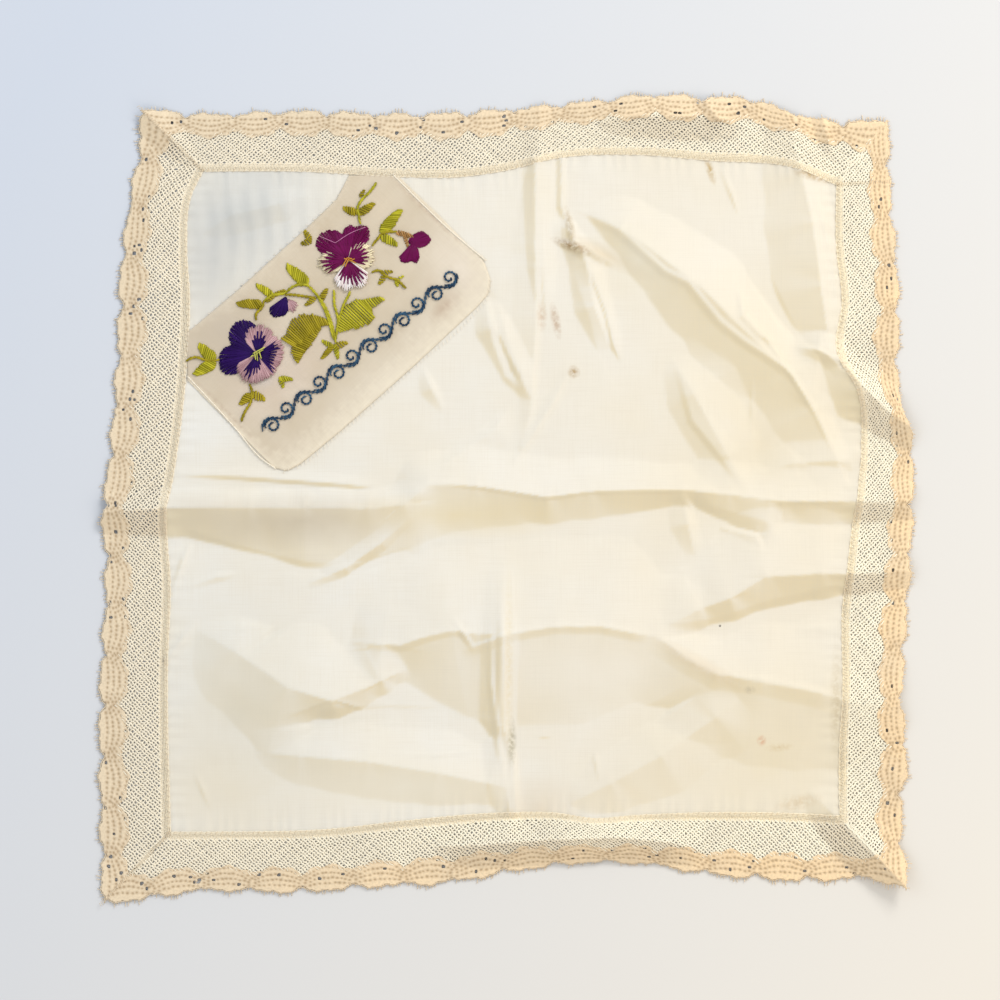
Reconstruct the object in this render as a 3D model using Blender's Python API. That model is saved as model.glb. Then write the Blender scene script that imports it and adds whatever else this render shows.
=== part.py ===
"""Linen handkerchief with a lace edging and an embroidered corner panel, lying loosely spread.

The handkerchief lies on z = 0, seen from above with its embroidered corner at the top left
(-X, +Y). The origin is the middle of its footprint, on the surface that it lies on.
Lengths in the tables are millimetres and are turned into metres where the meshes are made.
"""
import math

import bmesh
import bpy
import numpy as np

# Driving dimensions

MM = 0.001                 # one millimetre in metres
CLOTH_THICKNESS = 1.2      # each sheet, measured straight up, millimetres
PIECE_GAP = 0.3            # clear gap between neighbouring pieces
PANEL_LIFT = CLOTH_THICKNESS + 2 * PIECE_GAP   # the panel lies on the ground's folds
SCALLOPS = 16              # scallops along one side
SCALLOP_DEPTH = 1.5        # how far a scallop swells out past its notches
CELLS_ALONG = 3 * SCALLOPS  # mesh cells along each side of the ground and of the lace
LACE_CELLS_ACROSS = 3
PANEL_CELLS = (20, 11)     # along the slanting band, and across it
FLAT_BELOW = 0.4           # folds lower than this are pressed flat on the surface
MOST_LIFT = 10.0           # no fold stands higher than this
SLOPE_CURVE = 1.25         # 1 gives straight slopes, more gives slopes that flatten out

# Outline: places along each side of the seam and of the outer edge, x and y from the middle.
# The sides run left to right, or top to bottom.

SEAM = {
    "top": [(-110, 119), (-75, 119), (-38, 117), (-17, 117), (-2, 119), (20, 124),
            (49, 125), (73, 123), (105, 120), (120, 114)],
    "right": [(120, 114), (120, 91), (122, 73), (121, 50), (126, 42), (129, 18),
              (128, 6), (125, -15), (122, -43), (122, -66), (121, -89), (121, -115)],
    "bottom": [(-122, -121), (-103, -121), (-64, -120), (-37, -117), (0, -114),
               (17, -114), (32, -116), (46, -115), (92, -114), (121, -115)],
    "left": [(-110, 119), (-114, 111), (-116, 91), (-115, 73), (-116, 50), (-119, 21),
             (-121, 8), (-123, -3), (-122, -32), (-123, -61), (-122, -121)],
}
EDGE = {
    "top": [(-133, 142), (-111, 140), (-75, 141), (-38, 140), (5, 142), (34, 145),
            (52, 147), (74, 146), (87, 146), (99, 142), (114, 138), (139, 138)],
    "right": [(139, 138), (140, 108), (142, 87), (143, 61), (143, 38), (147, 24),
              (148, 0), (147, -25), (145, -55), (144, -73), (146, -95), (144, -113),
              (146, -142)],
    "bottom": [(-147, -147), (-133, -146), (-115, -143), (-75, -143), (-46, -141),
               (-24, -140), (12, -134), (34, -132), (52, -133), (70, -136), (107, -139),
               (136, -139), (146, -142)],
    "left": [(-133, 142), (-134, 127), (-137, 108), (-140, 87), (-142, 47), (-145, 11),
             (-147, -6), (-146, -20), (-148, -73), (-148, -109), (-147, -147)],
}

# Panel: corners of its slanting band, from the end under the left lace round to the end
# under the top lace. Each pair is x and y.

PANEL = {
    "lower_left": (-115, 44),
    "low_tip": (-82, 10),
    "right_tip": (-6, 78),
    "upper_right": (-41, 115),
    "upper_left": (-58, 115),
    "left_end": (-113, 60),
}

# Folds: one table for each, a row for each station along its crest, left to right or top to
# bottom. Columns: x, y, height of the crest, run-out of the slope on the upper (or right)
# side, run-out on the lower (or left) side.

FOLDS = {
    "pressed crease across the middle": [
        (-150, -5, 3.0, 9, 9), (-123, -3, 5.5, 8, 12), (-93, -3, 6.0, 8, 19),
        (-73, -3, 6.5, 7, 25), (-50, -3, 6.0, 7, 21), (-37, -2, 5.0, 9, 19),
        (-28, 5, 4.5, 14, 23), (-11, 5, 4.5, 16, 18), (15, 1, 4.5, 16, 12),
        (30, 3, 4.0, 14, 12), (64, 3, 4.0, 12, 6), (80, 1, 4.0, 13, 13),
        (95, -1, 4.0, 14, 17), (100, -1, 4.0, 14, 8), (127, -1, 4.5, 12, 9),
        (150, -1, 2.0, 9, 8)],
    "long swell below the middle": [
        (-58, -51, 0.0, 16, 4), (-45, -53, 3.5, 28, 14), (-20, -48, 6.0, 34, 32),
        (-1, -49, 6.5, 36, 37), (18, -46, 6.0, 36, 42), (37, -46, 5.5, 36, 40),
        (55, -50, 4.0, 24, 30), (68, -59, 5.0, 12, 26), (76, -63, 5.5, 16, 26),
        (92, -66, 6.0, 24, 34), (114, -70, 5.5, 32, 34), (123, -73, 4.5, 34, 28),
        (148, -75, 2.0, 18, 16)],
    "short swell at the right": [
        (58, -46, 0.0, 8, 3), (70, -40, 3.0, 20, 9), (81, -36, 5.0, 25, 11),
        (94, -28, 6.0, 25, 15), (114, -27, 6.0, 24, 12), (127, -27, 4.5, 20, 9),
        (149, -26, 2.0, 12, 8)],
    "low roll left of the middle": [
        (-94, -92, 0.0, 8, 10), (-75, -93, 2.5, 12, 14), (-50, -95, 4.0, 15, 16),
        (-25, -99, 4.0, 18, 14), (-6, -103, 2.5, 16, 10), (2, -105, 0.0, 10, 8)],
    "mound at the lower left": [
        (-114, -46, 0.0, 10, 12), (-98, -55, 3.5, 16, 24), (-79, -68, 5.5, 30, 26),
        (-63, -73, 5.0, 26, 9), (-45, -66, 3.0, 16, 6), (-36, -61, 0.0, 8, 4)],
    "slanting roll at the lower right": [
        (20, -112, 0.0, 12, 8), (38, -103, 2.5, 15, 14), (56, -93, 3.5, 15, 18),
        (76, -79, 2.0, 10, 16), (84, -72, 0.0, 6, 8)],
    "long slanting crest at the upper right": [
        (28, 106, 0.0, 10, 6), (42, 98, 3.5, 15, 10), (54, 89, 4.5, 17, 14),
        (71, 76, 5.5, 19, 20), (82, 65, 5.5, 16, 20), (103, 45, 5.0, 12, 18),
        (111, 32, 4.0, 8, 18), (120, 14, 1.5, 6, 12)],
    "strip beside the right seam": [
        (100, 147, 1.5, 7, 8), (107, 118, 3.5, 11, 17), (111, 100, 4.5, 9, 20),
        (114, 77, 4.5, 8, 20), (117, 56, 2.5, 7, 12), (120, 48, 0.0, 5, 6)],
    "tuck across the right lace": [
        (103, 55, 0.0, 6, 8), (113, 54, 3.5, 7, 20), (121, 50, 4.5, 8, 22),
        (129, 41, 5.5, 10, 16), (138, 32, 5.0, 10, 11), (149, 24, 3.0, 10, 9)],
    "slanting band right of the middle": [
        (58, 54, 0.0, 10, 8), (68, 38, 3.0, 18, 13), (80, 16, 3.0, 16, 13),
        (88, 2, 0.0, 8, 6)],
    "streak below the pinch": [
        (22, 98, 1.5, 5, 6), (29, 86, 3.0, 8, 8), (32, 70, 3.0, 8, 9),
        (42, 44, 0.0, 6, 6)],
    "wrinkle right of the panel": [
        (-8, 76, 0.0, 5, 6), (-4, 62, 2.5, 8, 9), (4, 46, 2.5, 8, 8),
        (10, 34, 0.0, 5, 5)],
    "pressed crease down the lower half": [
        (-1, -20, 0.0, 5, 5), (-2, -44, 1.5, 7, 7), (-3, -80, 2.0, 7, 7),
        (1, -112, 1.5, 7, 7), (1, -130, 0.0, 5, 5)],
    "pressed crease down the upper half": [
        (12, 146, 1.0, 8, 8), (12, 118, 2.0, 8, 8), (13, 84, 2.0, 7, 7),
        (15, 60, 0.0, 5, 5)],
    "bulge of the bottom lace": [
        (-28, -126, 0.0, 7, 8), (-10, -125, 4.0, 9, 10), (15, -123, 5.5, 8, 11),
        (40, -122, 5.5, 8, 11), (60, -124, 4.5, 9, 10), (76, -128, 0.0, 7, 8)],
    "lifted lower right corner": [
        (108, -104, 0.0, 8, 8), (121, -116, 3.5, 11, 11), (134, -129, 5.5, 12, 12),
        (150, -146, 6.5, 13, 13)],
    "gathers at the embroidered corner": [
        (-138, 147, 2.0, 8, 8), (-124, 133, 2.5, 8, 8), (-108, 117, 0.0, 6, 6)],
    "soft swell above the panel": [
        (-113, 94, 0.0, 8, 8), (-99, 103, 1.8, 9, 10), (-82, 107, 1.8, 8, 10),
        (-66, 112, 0.0, 6, 6)],
    "soft swell of the panel": [
        (-98, 34, 0.0, 10, 9), (-76, 51, 1.6, 14, 13), (-50, 75, 1.8, 14, 13),
        (-28, 94, 0.0, 9, 9)],
    "wave of the top lace": [
        (30, 136, 0.0, 8, 7), (48, 139, 3.0, 10, 10), (76, 138, 3.5, 10, 10),
        (90, 135, 0.0, 8, 7)],
}

# Surface and thread colours, linear red, green and blue

GROUND_COLOUR = (0.86, 0.82, 0.73, 1.0)
PANEL_COLOUR = (0.72, 0.63, 0.49, 1.0)
LACE_COLOUR = (0.68, 0.55, 0.36, 1.0)
CLOTH_ROUGHNESS = 0.85


def clear_scene():
    """Remove every object of the open scene."""
    for item in list(bpy.data.objects):
        bpy.data.objects.remove(item, do_unlink=True)


def cloth_material(name, colour):
    """A matt Principled material for one kind of cloth."""
    material = bpy.data.materials.new(name)
    material.use_nodes = True
    shader = material.node_tree.nodes["Principled BSDF"]
    shader.inputs["Base Color"].default_value = colour
    shader.inputs["Roughness"].default_value = CLOTH_ROUGHNESS
    shader.inputs["Metallic"].default_value = 0.0
    return material


def line_through(points, shares):
    """Places on a smooth curve through the points, at shares 0 to 1 of its length."""
    places = np.array(points, dtype=float)
    steps = np.linalg.norm(np.diff(places, axis=0), axis=1)
    reach = np.concatenate([[0.0], np.cumsum(steps)]) / steps.sum()
    tangents = np.gradient(places, reach, axis=0)
    shares = np.clip(np.asarray(shares, dtype=float), 0.0, 1.0)
    left = np.clip(np.searchsorted(reach, shares, side="right") - 1, 0, len(steps) - 1)
    span = reach[left + 1] - reach[left]
    t = ((shares - reach[left]) / span)[:, None]
    span = span[:, None]
    return ((2 * t**3 - 3 * t**2 + 1) * places[left]
            + (t**3 - 2 * t**2 + t) * span * tangents[left]
            + (3 * t**2 - 2 * t**3) * places[left + 1]
            + (t**3 - t**2) * span * tangents[left + 1])


def fold_height(stations, x, y):
    """Height of one fold over the places x, y: straight slopes down from its crest."""
    rows = np.array(stations, dtype=float)
    nearest = np.full(x.shape, np.inf)
    height = np.zeros(x.shape)
    for start, end in zip(rows[:-1], rows[1:]):
        run, rise = end[0] - start[0], end[1] - start[1]
        share = ((x - start[0]) * run + (y - start[1]) * rise) / (run**2 + rise**2)
        share = np.clip(share, 0.0, 1.0)
        off_x = x - start[0] - share * run
        off_y = y - start[1] - share * rise
        away = np.hypot(off_x, off_y)
        crest, upper, lower = (start[i] + share * (end[i] - start[i]) for i in (2, 3, 4))
        on_upper_side = run * off_y - rise * off_x > 0
        slope = 1.0 - away / np.where(on_upper_side, upper, lower)
        here = crest * np.clip(slope, 0.0, 1.0) ** SLOPE_CURVE
        closer = away < nearest
        nearest = np.where(closer, away, nearest)
        height = np.where(closer, here, height)
    return height


def lift(x, y):
    """Height of the cloth's underside over the surface, from all its folds together."""
    total = sum(fold_height(stations, x, y) for stations in FOLDS.values())
    total = total - FLAT_BELOW
    return np.clip(total, 0.0, MOST_LIFT)


def side(table, name, count):
    """Places along one side of the seam or of the edge, evenly spread by share."""
    return line_through(table[name], np.linspace(0.0, 1.0, count + 1))


def sheet_from_places(name, places, raised, material, home):
    """A sheet whose underside runs through a grid of x, y places.

    Its thickness is pulled straight up, so that neighbours keep their gap on a slope.
    """
    rows, columns = places.shape[0] - 1, places.shape[1] - 1
    mesh = bpy.data.meshes.new(name)
    shape = bmesh.new()
    bmesh.ops.create_grid(shape, x_segments=columns, y_segments=rows, size=0.5)
    for vertex in shape.verts:
        column = round((vertex.co.x + 0.5) * columns)
        row = round((vertex.co.y + 0.5) * rows)
        x, y = places[row, column]
        height = float(lift(np.array([x]), np.array([y]))[0]) + raised
        vertex.co = (x * MM, y * MM, height * MM)
    pulled = bmesh.ops.extrude_face_region(shape, geom=shape.faces[:], use_keep_orig=True)
    top = [item for item in pulled["geom"] if isinstance(item, bmesh.types.BMVert)]
    bmesh.ops.translate(shape, verts=top, vec=(0.0, 0.0, CLOTH_THICKNESS * MM))
    bmesh.ops.recalc_face_normals(shape, faces=shape.faces)
    shape.to_mesh(mesh)
    shape.free()
    mesh.materials.append(material)
    mesh.shade_smooth()
    home.objects.link(bpy.data.objects.new(name, mesh))


def ground_places():
    """Grid of places that fills the four sides of the seam."""
    n = CELLS_ALONG
    top, bottom = side(SEAM, "top", n), side(SEAM, "bottom", n)
    left, right = side(SEAM, "left", n)[::-1], side(SEAM, "right", n)[::-1]
    places = np.zeros((n + 1, n + 1, 2))
    for row in range(n + 1):
        v = row / n
        for column in range(n + 1):
            u = column / n
            corners = ((1 - u) * (1 - v) * bottom[0] + u * (1 - v) * bottom[n]
                       + (1 - u) * v * top[0] + u * v * top[n])
            places[row, column] = ((1 - v) * bottom[column] + v * top[column]
                                   + (1 - u) * left[row] + u * right[row] - corners)
    return places


def lace_places(name):
    """Grid of places from the seam out to the scalloped edge of one side."""
    n = CELLS_ALONG
    inner, outer = SEAM[name], EDGE[name]
    longest = np.linalg.norm(np.diff(np.array(outer, dtype=float), axis=0), axis=1).sum()
    end_gap = PIECE_GAP / longest
    shares = np.linspace(end_gap, 1.0 - end_gap, n + 1)
    seam = line_through(inner, shares)
    edge = line_through(outer, shares)
    outward = edge - seam
    width = np.linalg.norm(outward, axis=1, keepdims=True)
    outward = outward / width
    notch = 1.0 - np.abs(np.sin(math.pi * SCALLOPS * shares))
    edge = edge - outward * (SCALLOP_DEPTH * notch)[:, None]
    seam = seam + outward * PIECE_GAP
    across = np.linspace(0.0, 1.0, LACE_CELLS_ACROSS + 1)
    return np.array([seam + (edge - seam) * share for share in across])


def panel_places():
    """Grid of places over the slanting panel, from its low left end to its top end."""
    low_edge = [PANEL["lower_left"], PANEL["low_tip"], PANEL["right_tip"],
                PANEL["upper_right"]]
    high_edge = [PANEL["left_end"], PANEL["upper_left"]]
    along, across = PANEL_CELLS
    low = along_corners(low_edge, along)
    high = along_corners(high_edge, along)
    shares = np.linspace(0.0, 1.0, across + 1)
    return np.array([low + (high - low) * share for share in shares])


def along_corners(corners, count):
    """Places along straight stretches, with a place on every corner."""
    corners = np.array(corners, dtype=float)
    lengths = np.linalg.norm(np.diff(corners, axis=0), axis=1)
    steps = [max(1, round(count * length / lengths.sum())) for length in lengths]
    steps[int(np.argmax(steps))] += count - sum(steps)
    places = [corners[0]]
    for start, end, parts in zip(corners[:-1], corners[1:], steps):
        places += [start + (end - start) * k / parts for k in range(1, parts + 1)]
    return np.array(places)


def build():
    """Make the ground, the panel and the four lengths of lace."""
    clear_scene()
    home = bpy.data.collections.new("linen_handkerchief")
    bpy.context.scene.collection.children.link(home)
    ground_cloth = cloth_material("ground_linen", GROUND_COLOUR)
    panel_cloth = cloth_material("panel_organdie", PANEL_COLOUR)
    lace_cloth = cloth_material("edging_lace", LACE_COLOUR)
    sheet_from_places("ground", ground_places(), 0.0, ground_cloth, home)
    sheet_from_places("panel", panel_places(), PANEL_LIFT, panel_cloth, home)
    for name in SEAM:
        sheet_from_places("lace_" + name, lace_places(name), 0.0, lace_cloth, home)


build()
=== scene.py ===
# %% [markdown]
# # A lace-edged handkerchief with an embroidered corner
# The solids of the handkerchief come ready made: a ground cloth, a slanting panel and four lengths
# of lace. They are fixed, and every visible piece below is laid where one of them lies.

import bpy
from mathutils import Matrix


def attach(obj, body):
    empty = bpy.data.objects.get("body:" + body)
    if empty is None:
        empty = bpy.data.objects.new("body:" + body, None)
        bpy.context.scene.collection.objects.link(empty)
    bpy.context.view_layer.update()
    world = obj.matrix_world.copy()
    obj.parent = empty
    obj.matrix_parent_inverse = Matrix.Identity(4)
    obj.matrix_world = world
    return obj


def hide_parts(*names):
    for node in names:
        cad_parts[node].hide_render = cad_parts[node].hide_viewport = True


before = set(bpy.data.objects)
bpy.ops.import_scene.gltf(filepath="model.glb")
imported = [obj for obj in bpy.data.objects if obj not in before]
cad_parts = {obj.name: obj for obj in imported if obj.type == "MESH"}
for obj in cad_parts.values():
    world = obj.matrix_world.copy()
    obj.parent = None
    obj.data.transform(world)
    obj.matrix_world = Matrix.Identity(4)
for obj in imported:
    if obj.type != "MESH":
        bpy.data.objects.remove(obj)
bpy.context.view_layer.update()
print("solids:", sorted(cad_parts))

# %% [markdown]
# Lengths are written in millimetres, because a needleworker thinks in them, and turned into metres
# where a mesh is made. A fixed seed keeps every uneven stitch the same on each run.

# %% Units and a seed
import math

import bmesh
import bpy
import numpy as np
from mathutils import Vector

MM = 0.001
CHANCE = np.random.default_rng(1917)
ROOT = "root"

# %% [markdown]
# ## The outline
# The cloth isn't a true square any more: years of folding have pulled its sides into soft waves.
# Each side is a short list of measured places, and a smooth line is run through them. The seam is
# where the lace meets the ground, and the edge is where the scallops end.

# %% Seam and outer edge, x and y from the middle
SEAM = {
    "top": [(-110, 119), (-75, 119), (-38, 117), (-17, 117), (-2, 119), (20, 124),
            (49, 125), (73, 123), (105, 120), (120, 114)],
    "right": [(120, 114), (120, 91), (122, 73), (121, 50), (126, 42), (129, 18),
              (128, 6), (125, -15), (122, -43), (122, -66), (121, -89), (121, -115)],
    "bottom": [(-122, -121), (-103, -121), (-64, -120), (-37, -117), (0, -114),
               (17, -114), (32, -116), (46, -115), (92, -114), (121, -115)],
    "left": [(-110, 119), (-114, 111), (-116, 91), (-115, 73), (-116, 50), (-119, 21),
             (-121, 8), (-123, -3), (-122, -32), (-123, -61), (-122, -121)],
}
EDGE = {
    "top": [(-133, 142), (-111, 140), (-75, 141), (-38, 140), (5, 142), (34, 145),
            (52, 147), (74, 146), (87, 146), (99, 142), (114, 138), (139, 138)],
    "right": [(139, 138), (140, 108), (142, 87), (143, 61), (143, 38), (147, 24),
              (148, 0), (147, -25), (145, -55), (144, -73), (146, -95), (144, -113),
              (146, -142)],
    "bottom": [(-147, -147), (-133, -146), (-115, -143), (-75, -143), (-46, -141),
               (-24, -140), (12, -134), (34, -132), (52, -133), (70, -136), (107, -139),
               (136, -139), (146, -142)],
    "left": [(-133, 142), (-134, 127), (-137, 108), (-140, 87), (-142, 47), (-145, 11),
             (-147, -6), (-146, -20), (-148, -73), (-148, -109), (-147, -147)],
}
RUNS_ALONG = {"top": 0, "bottom": 0, "left": 1, "right": 1}   # 0 for x, 1 for y


def curve_between(t, span, here, there, slope_here, slope_there):
    """Height of a smooth curve between two places, at a share t of the span between them."""
    return ((2 * t**3 - 3 * t**2 + 1) * here + (t**3 - 2 * t**2 + t) * span * slope_here
            + (3 * t**2 - 2 * t**3) * there + (t**3 - t**2) * span * slope_there)


def side_line(points, along, axis):
    """Where a side lies at each place along it: a smooth line, straight past its ends."""
    rows = np.array(sorted(points, key=lambda p: p[axis]), dtype=float)
    run, out = rows[:, axis], rows[:, 1 - axis]
    slope = np.gradient(out, run)
    inside = np.clip(along, run[0], run[-1])
    k = np.clip(np.searchsorted(run, inside, side="right") - 1, 0, len(run) - 2)
    span = run[k + 1] - run[k]
    line = curve_between((inside - run[k]) / span, span, out[k], out[k + 1],
                         slope[k], slope[k + 1])
    past = along - inside
    return line + past * np.where(past < 0, slope[0], slope[-1])


# %% [markdown]
# ## The folds
# A pressed fold stands as a ridge with two sloping sides. Each fold is a short table, with a row for
# each place along its crest: x, y, height, and how far its slope runs out on the upper (or right)
# side and on the lower (or left) side. All folds are added up, and what stays lower than a hair is
# pressed flat. Simulating the drape would lose the creases' places, so they are given one by one.

# %% Main folds, the same as in the solids
FOLDS = {
    "pressed crease across the middle": [
        (-150, -5, 3.0, 9, 9), (-123, -3, 5.5, 8, 12), (-93, -3, 6.0, 8, 19),
        (-73, -3, 6.5, 7, 25), (-50, -3, 6.0, 7, 21), (-37, -2, 5.0, 9, 19),
        (-28, 5, 4.5, 14, 23), (-11, 5, 4.5, 16, 18), (15, 1, 4.5, 16, 12),
        (30, 3, 4.0, 14, 12), (64, 3, 4.0, 12, 6), (80, 1, 4.0, 13, 13),
        (95, -1, 4.0, 14, 17), (100, -1, 4.0, 14, 8), (127, -1, 4.5, 12, 9),
        (150, -1, 2.0, 9, 8)],
    "long swell below the middle": [
        (-58, -51, 0.0, 16, 4), (-45, -53, 3.5, 28, 14), (-20, -48, 6.0, 34, 32),
        (-1, -49, 6.5, 36, 37), (18, -46, 6.0, 36, 42), (37, -46, 5.5, 36, 40),
        (55, -50, 4.0, 24, 30), (68, -59, 5.0, 12, 26), (76, -63, 5.5, 16, 26),
        (92, -66, 6.0, 24, 34), (114, -70, 5.5, 32, 34), (123, -73, 4.5, 34, 28),
        (148, -75, 2.0, 18, 16)],
    "short swell at the right": [
        (58, -46, 0.0, 8, 3), (70, -40, 3.0, 20, 9), (81, -36, 5.0, 25, 11),
        (94, -28, 6.0, 25, 15), (114, -27, 6.0, 24, 12), (127, -27, 4.5, 20, 9),
        (149, -26, 2.0, 12, 8)],
    "low roll left of the middle": [
        (-94, -92, 0.0, 8, 10), (-75, -93, 2.5, 12, 14), (-50, -95, 4.0, 15, 16),
        (-25, -99, 4.0, 18, 14), (-6, -103, 2.5, 16, 10), (2, -105, 0.0, 10, 8)],
    "mound at the lower left": [
        (-114, -46, 0.0, 10, 12), (-98, -55, 3.5, 16, 24), (-79, -68, 5.5, 30, 26),
        (-63, -73, 5.0, 26, 9), (-45, -66, 3.0, 16, 6), (-36, -61, 0.0, 8, 4)],
    "slanting roll at the lower right": [
        (20, -112, 0.0, 12, 8), (38, -103, 2.5, 15, 14), (56, -93, 3.5, 15, 18),
        (76, -79, 2.0, 10, 16), (84, -72, 0.0, 6, 8)],
    "long slanting crest at the upper right": [
        (28, 106, 0.0, 10, 6), (42, 98, 3.5, 15, 10), (54, 89, 4.5, 17, 14),
        (71, 76, 5.5, 19, 20), (82, 65, 5.5, 16, 20), (103, 45, 5.0, 12, 18),
        (111, 32, 4.0, 8, 18), (120, 14, 1.5, 6, 12)],
    "strip beside the right seam": [
        (100, 147, 1.5, 7, 8), (107, 118, 3.5, 11, 17), (111, 100, 4.5, 9, 20),
        (114, 77, 4.5, 8, 20), (117, 56, 2.5, 7, 12), (120, 48, 0.0, 5, 6)],
    "tuck across the right lace": [
        (103, 55, 0.0, 6, 8), (113, 54, 3.5, 7, 20), (121, 50, 4.5, 8, 22),
        (129, 41, 5.5, 10, 16), (138, 32, 5.0, 10, 11), (149, 24, 3.0, 10, 9)],
    "slanting band right of the middle": [
        (58, 54, 0.0, 10, 8), (68, 38, 3.0, 18, 13), (80, 16, 3.0, 16, 13),
        (88, 2, 0.0, 8, 6)],
    "streak below the pinch": [
        (22, 98, 1.5, 5, 6), (29, 86, 3.0, 8, 8), (32, 70, 3.0, 8, 9),
        (42, 44, 0.0, 6, 6)],
    "wrinkle right of the panel": [
        (-8, 76, 0.0, 5, 6), (-4, 62, 2.5, 8, 9), (4, 46, 2.5, 8, 8),
        (10, 34, 0.0, 5, 5)],
    "pressed crease down the lower half": [
        (-1, -20, 0.0, 5, 5), (-2, -44, 1.5, 7, 7), (-3, -80, 2.0, 7, 7),
        (1, -112, 1.5, 7, 7), (1, -130, 0.0, 5, 5)],
    "pressed crease down the upper half": [
        (12, 146, 1.0, 8, 8), (12, 118, 2.0, 8, 8), (13, 84, 2.0, 7, 7),
        (15, 60, 0.0, 5, 5)],
    "bulge of the bottom lace": [
        (-28, -126, 0.0, 7, 8), (-10, -125, 4.0, 9, 10), (15, -123, 5.5, 8, 11),
        (40, -122, 5.5, 8, 11), (60, -124, 4.5, 9, 10), (76, -128, 0.0, 7, 8)],
    "lifted lower right corner": [
        (108, -104, 0.0, 8, 8), (121, -116, 3.5, 11, 11), (134, -129, 5.5, 12, 12),
        (150, -146, 6.5, 13, 13)],
    "gathers at the embroidered corner": [
        (-138, 147, 2.0, 8, 8), (-124, 133, 2.5, 8, 8), (-108, 117, 0.0, 6, 6)],
    "soft swell above the panel": [
        (-113, 94, 0.0, 8, 8), (-99, 103, 1.8, 9, 10), (-82, 107, 1.8, 8, 10),
        (-66, 112, 0.0, 6, 6)],
    "soft swell of the panel": [
        (-98, 34, 0.0, 10, 9), (-76, 51, 1.6, 14, 13), (-50, 75, 1.8, 14, 13),
        (-28, 94, 0.0, 9, 9)],
    "wave of the top lace": [
        (30, 136, 0.0, 8, 7), (48, 139, 3.0, 10, 10), (76, 138, 3.5, 10, 10),
        (90, 135, 0.0, 8, 7)],
}
FLAT_BELOW = 0.4     # pressed flat on the surface
MOST_LIFT = 10.0
SHARPNESS = 1.06     # 1 is a straight slope, more is a hollow one
BLEND = 0.06         # how softly the stretches of one fold meet, as a share of its reach

# %% [markdown]
# Fine creases are too thin for the solids, so only the visible cloth has them. They could be
# painted as shade, but a crease with a real height catches light from any side. Those that keep
# one height and one pair of slopes have a shorter table of their own.

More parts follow.
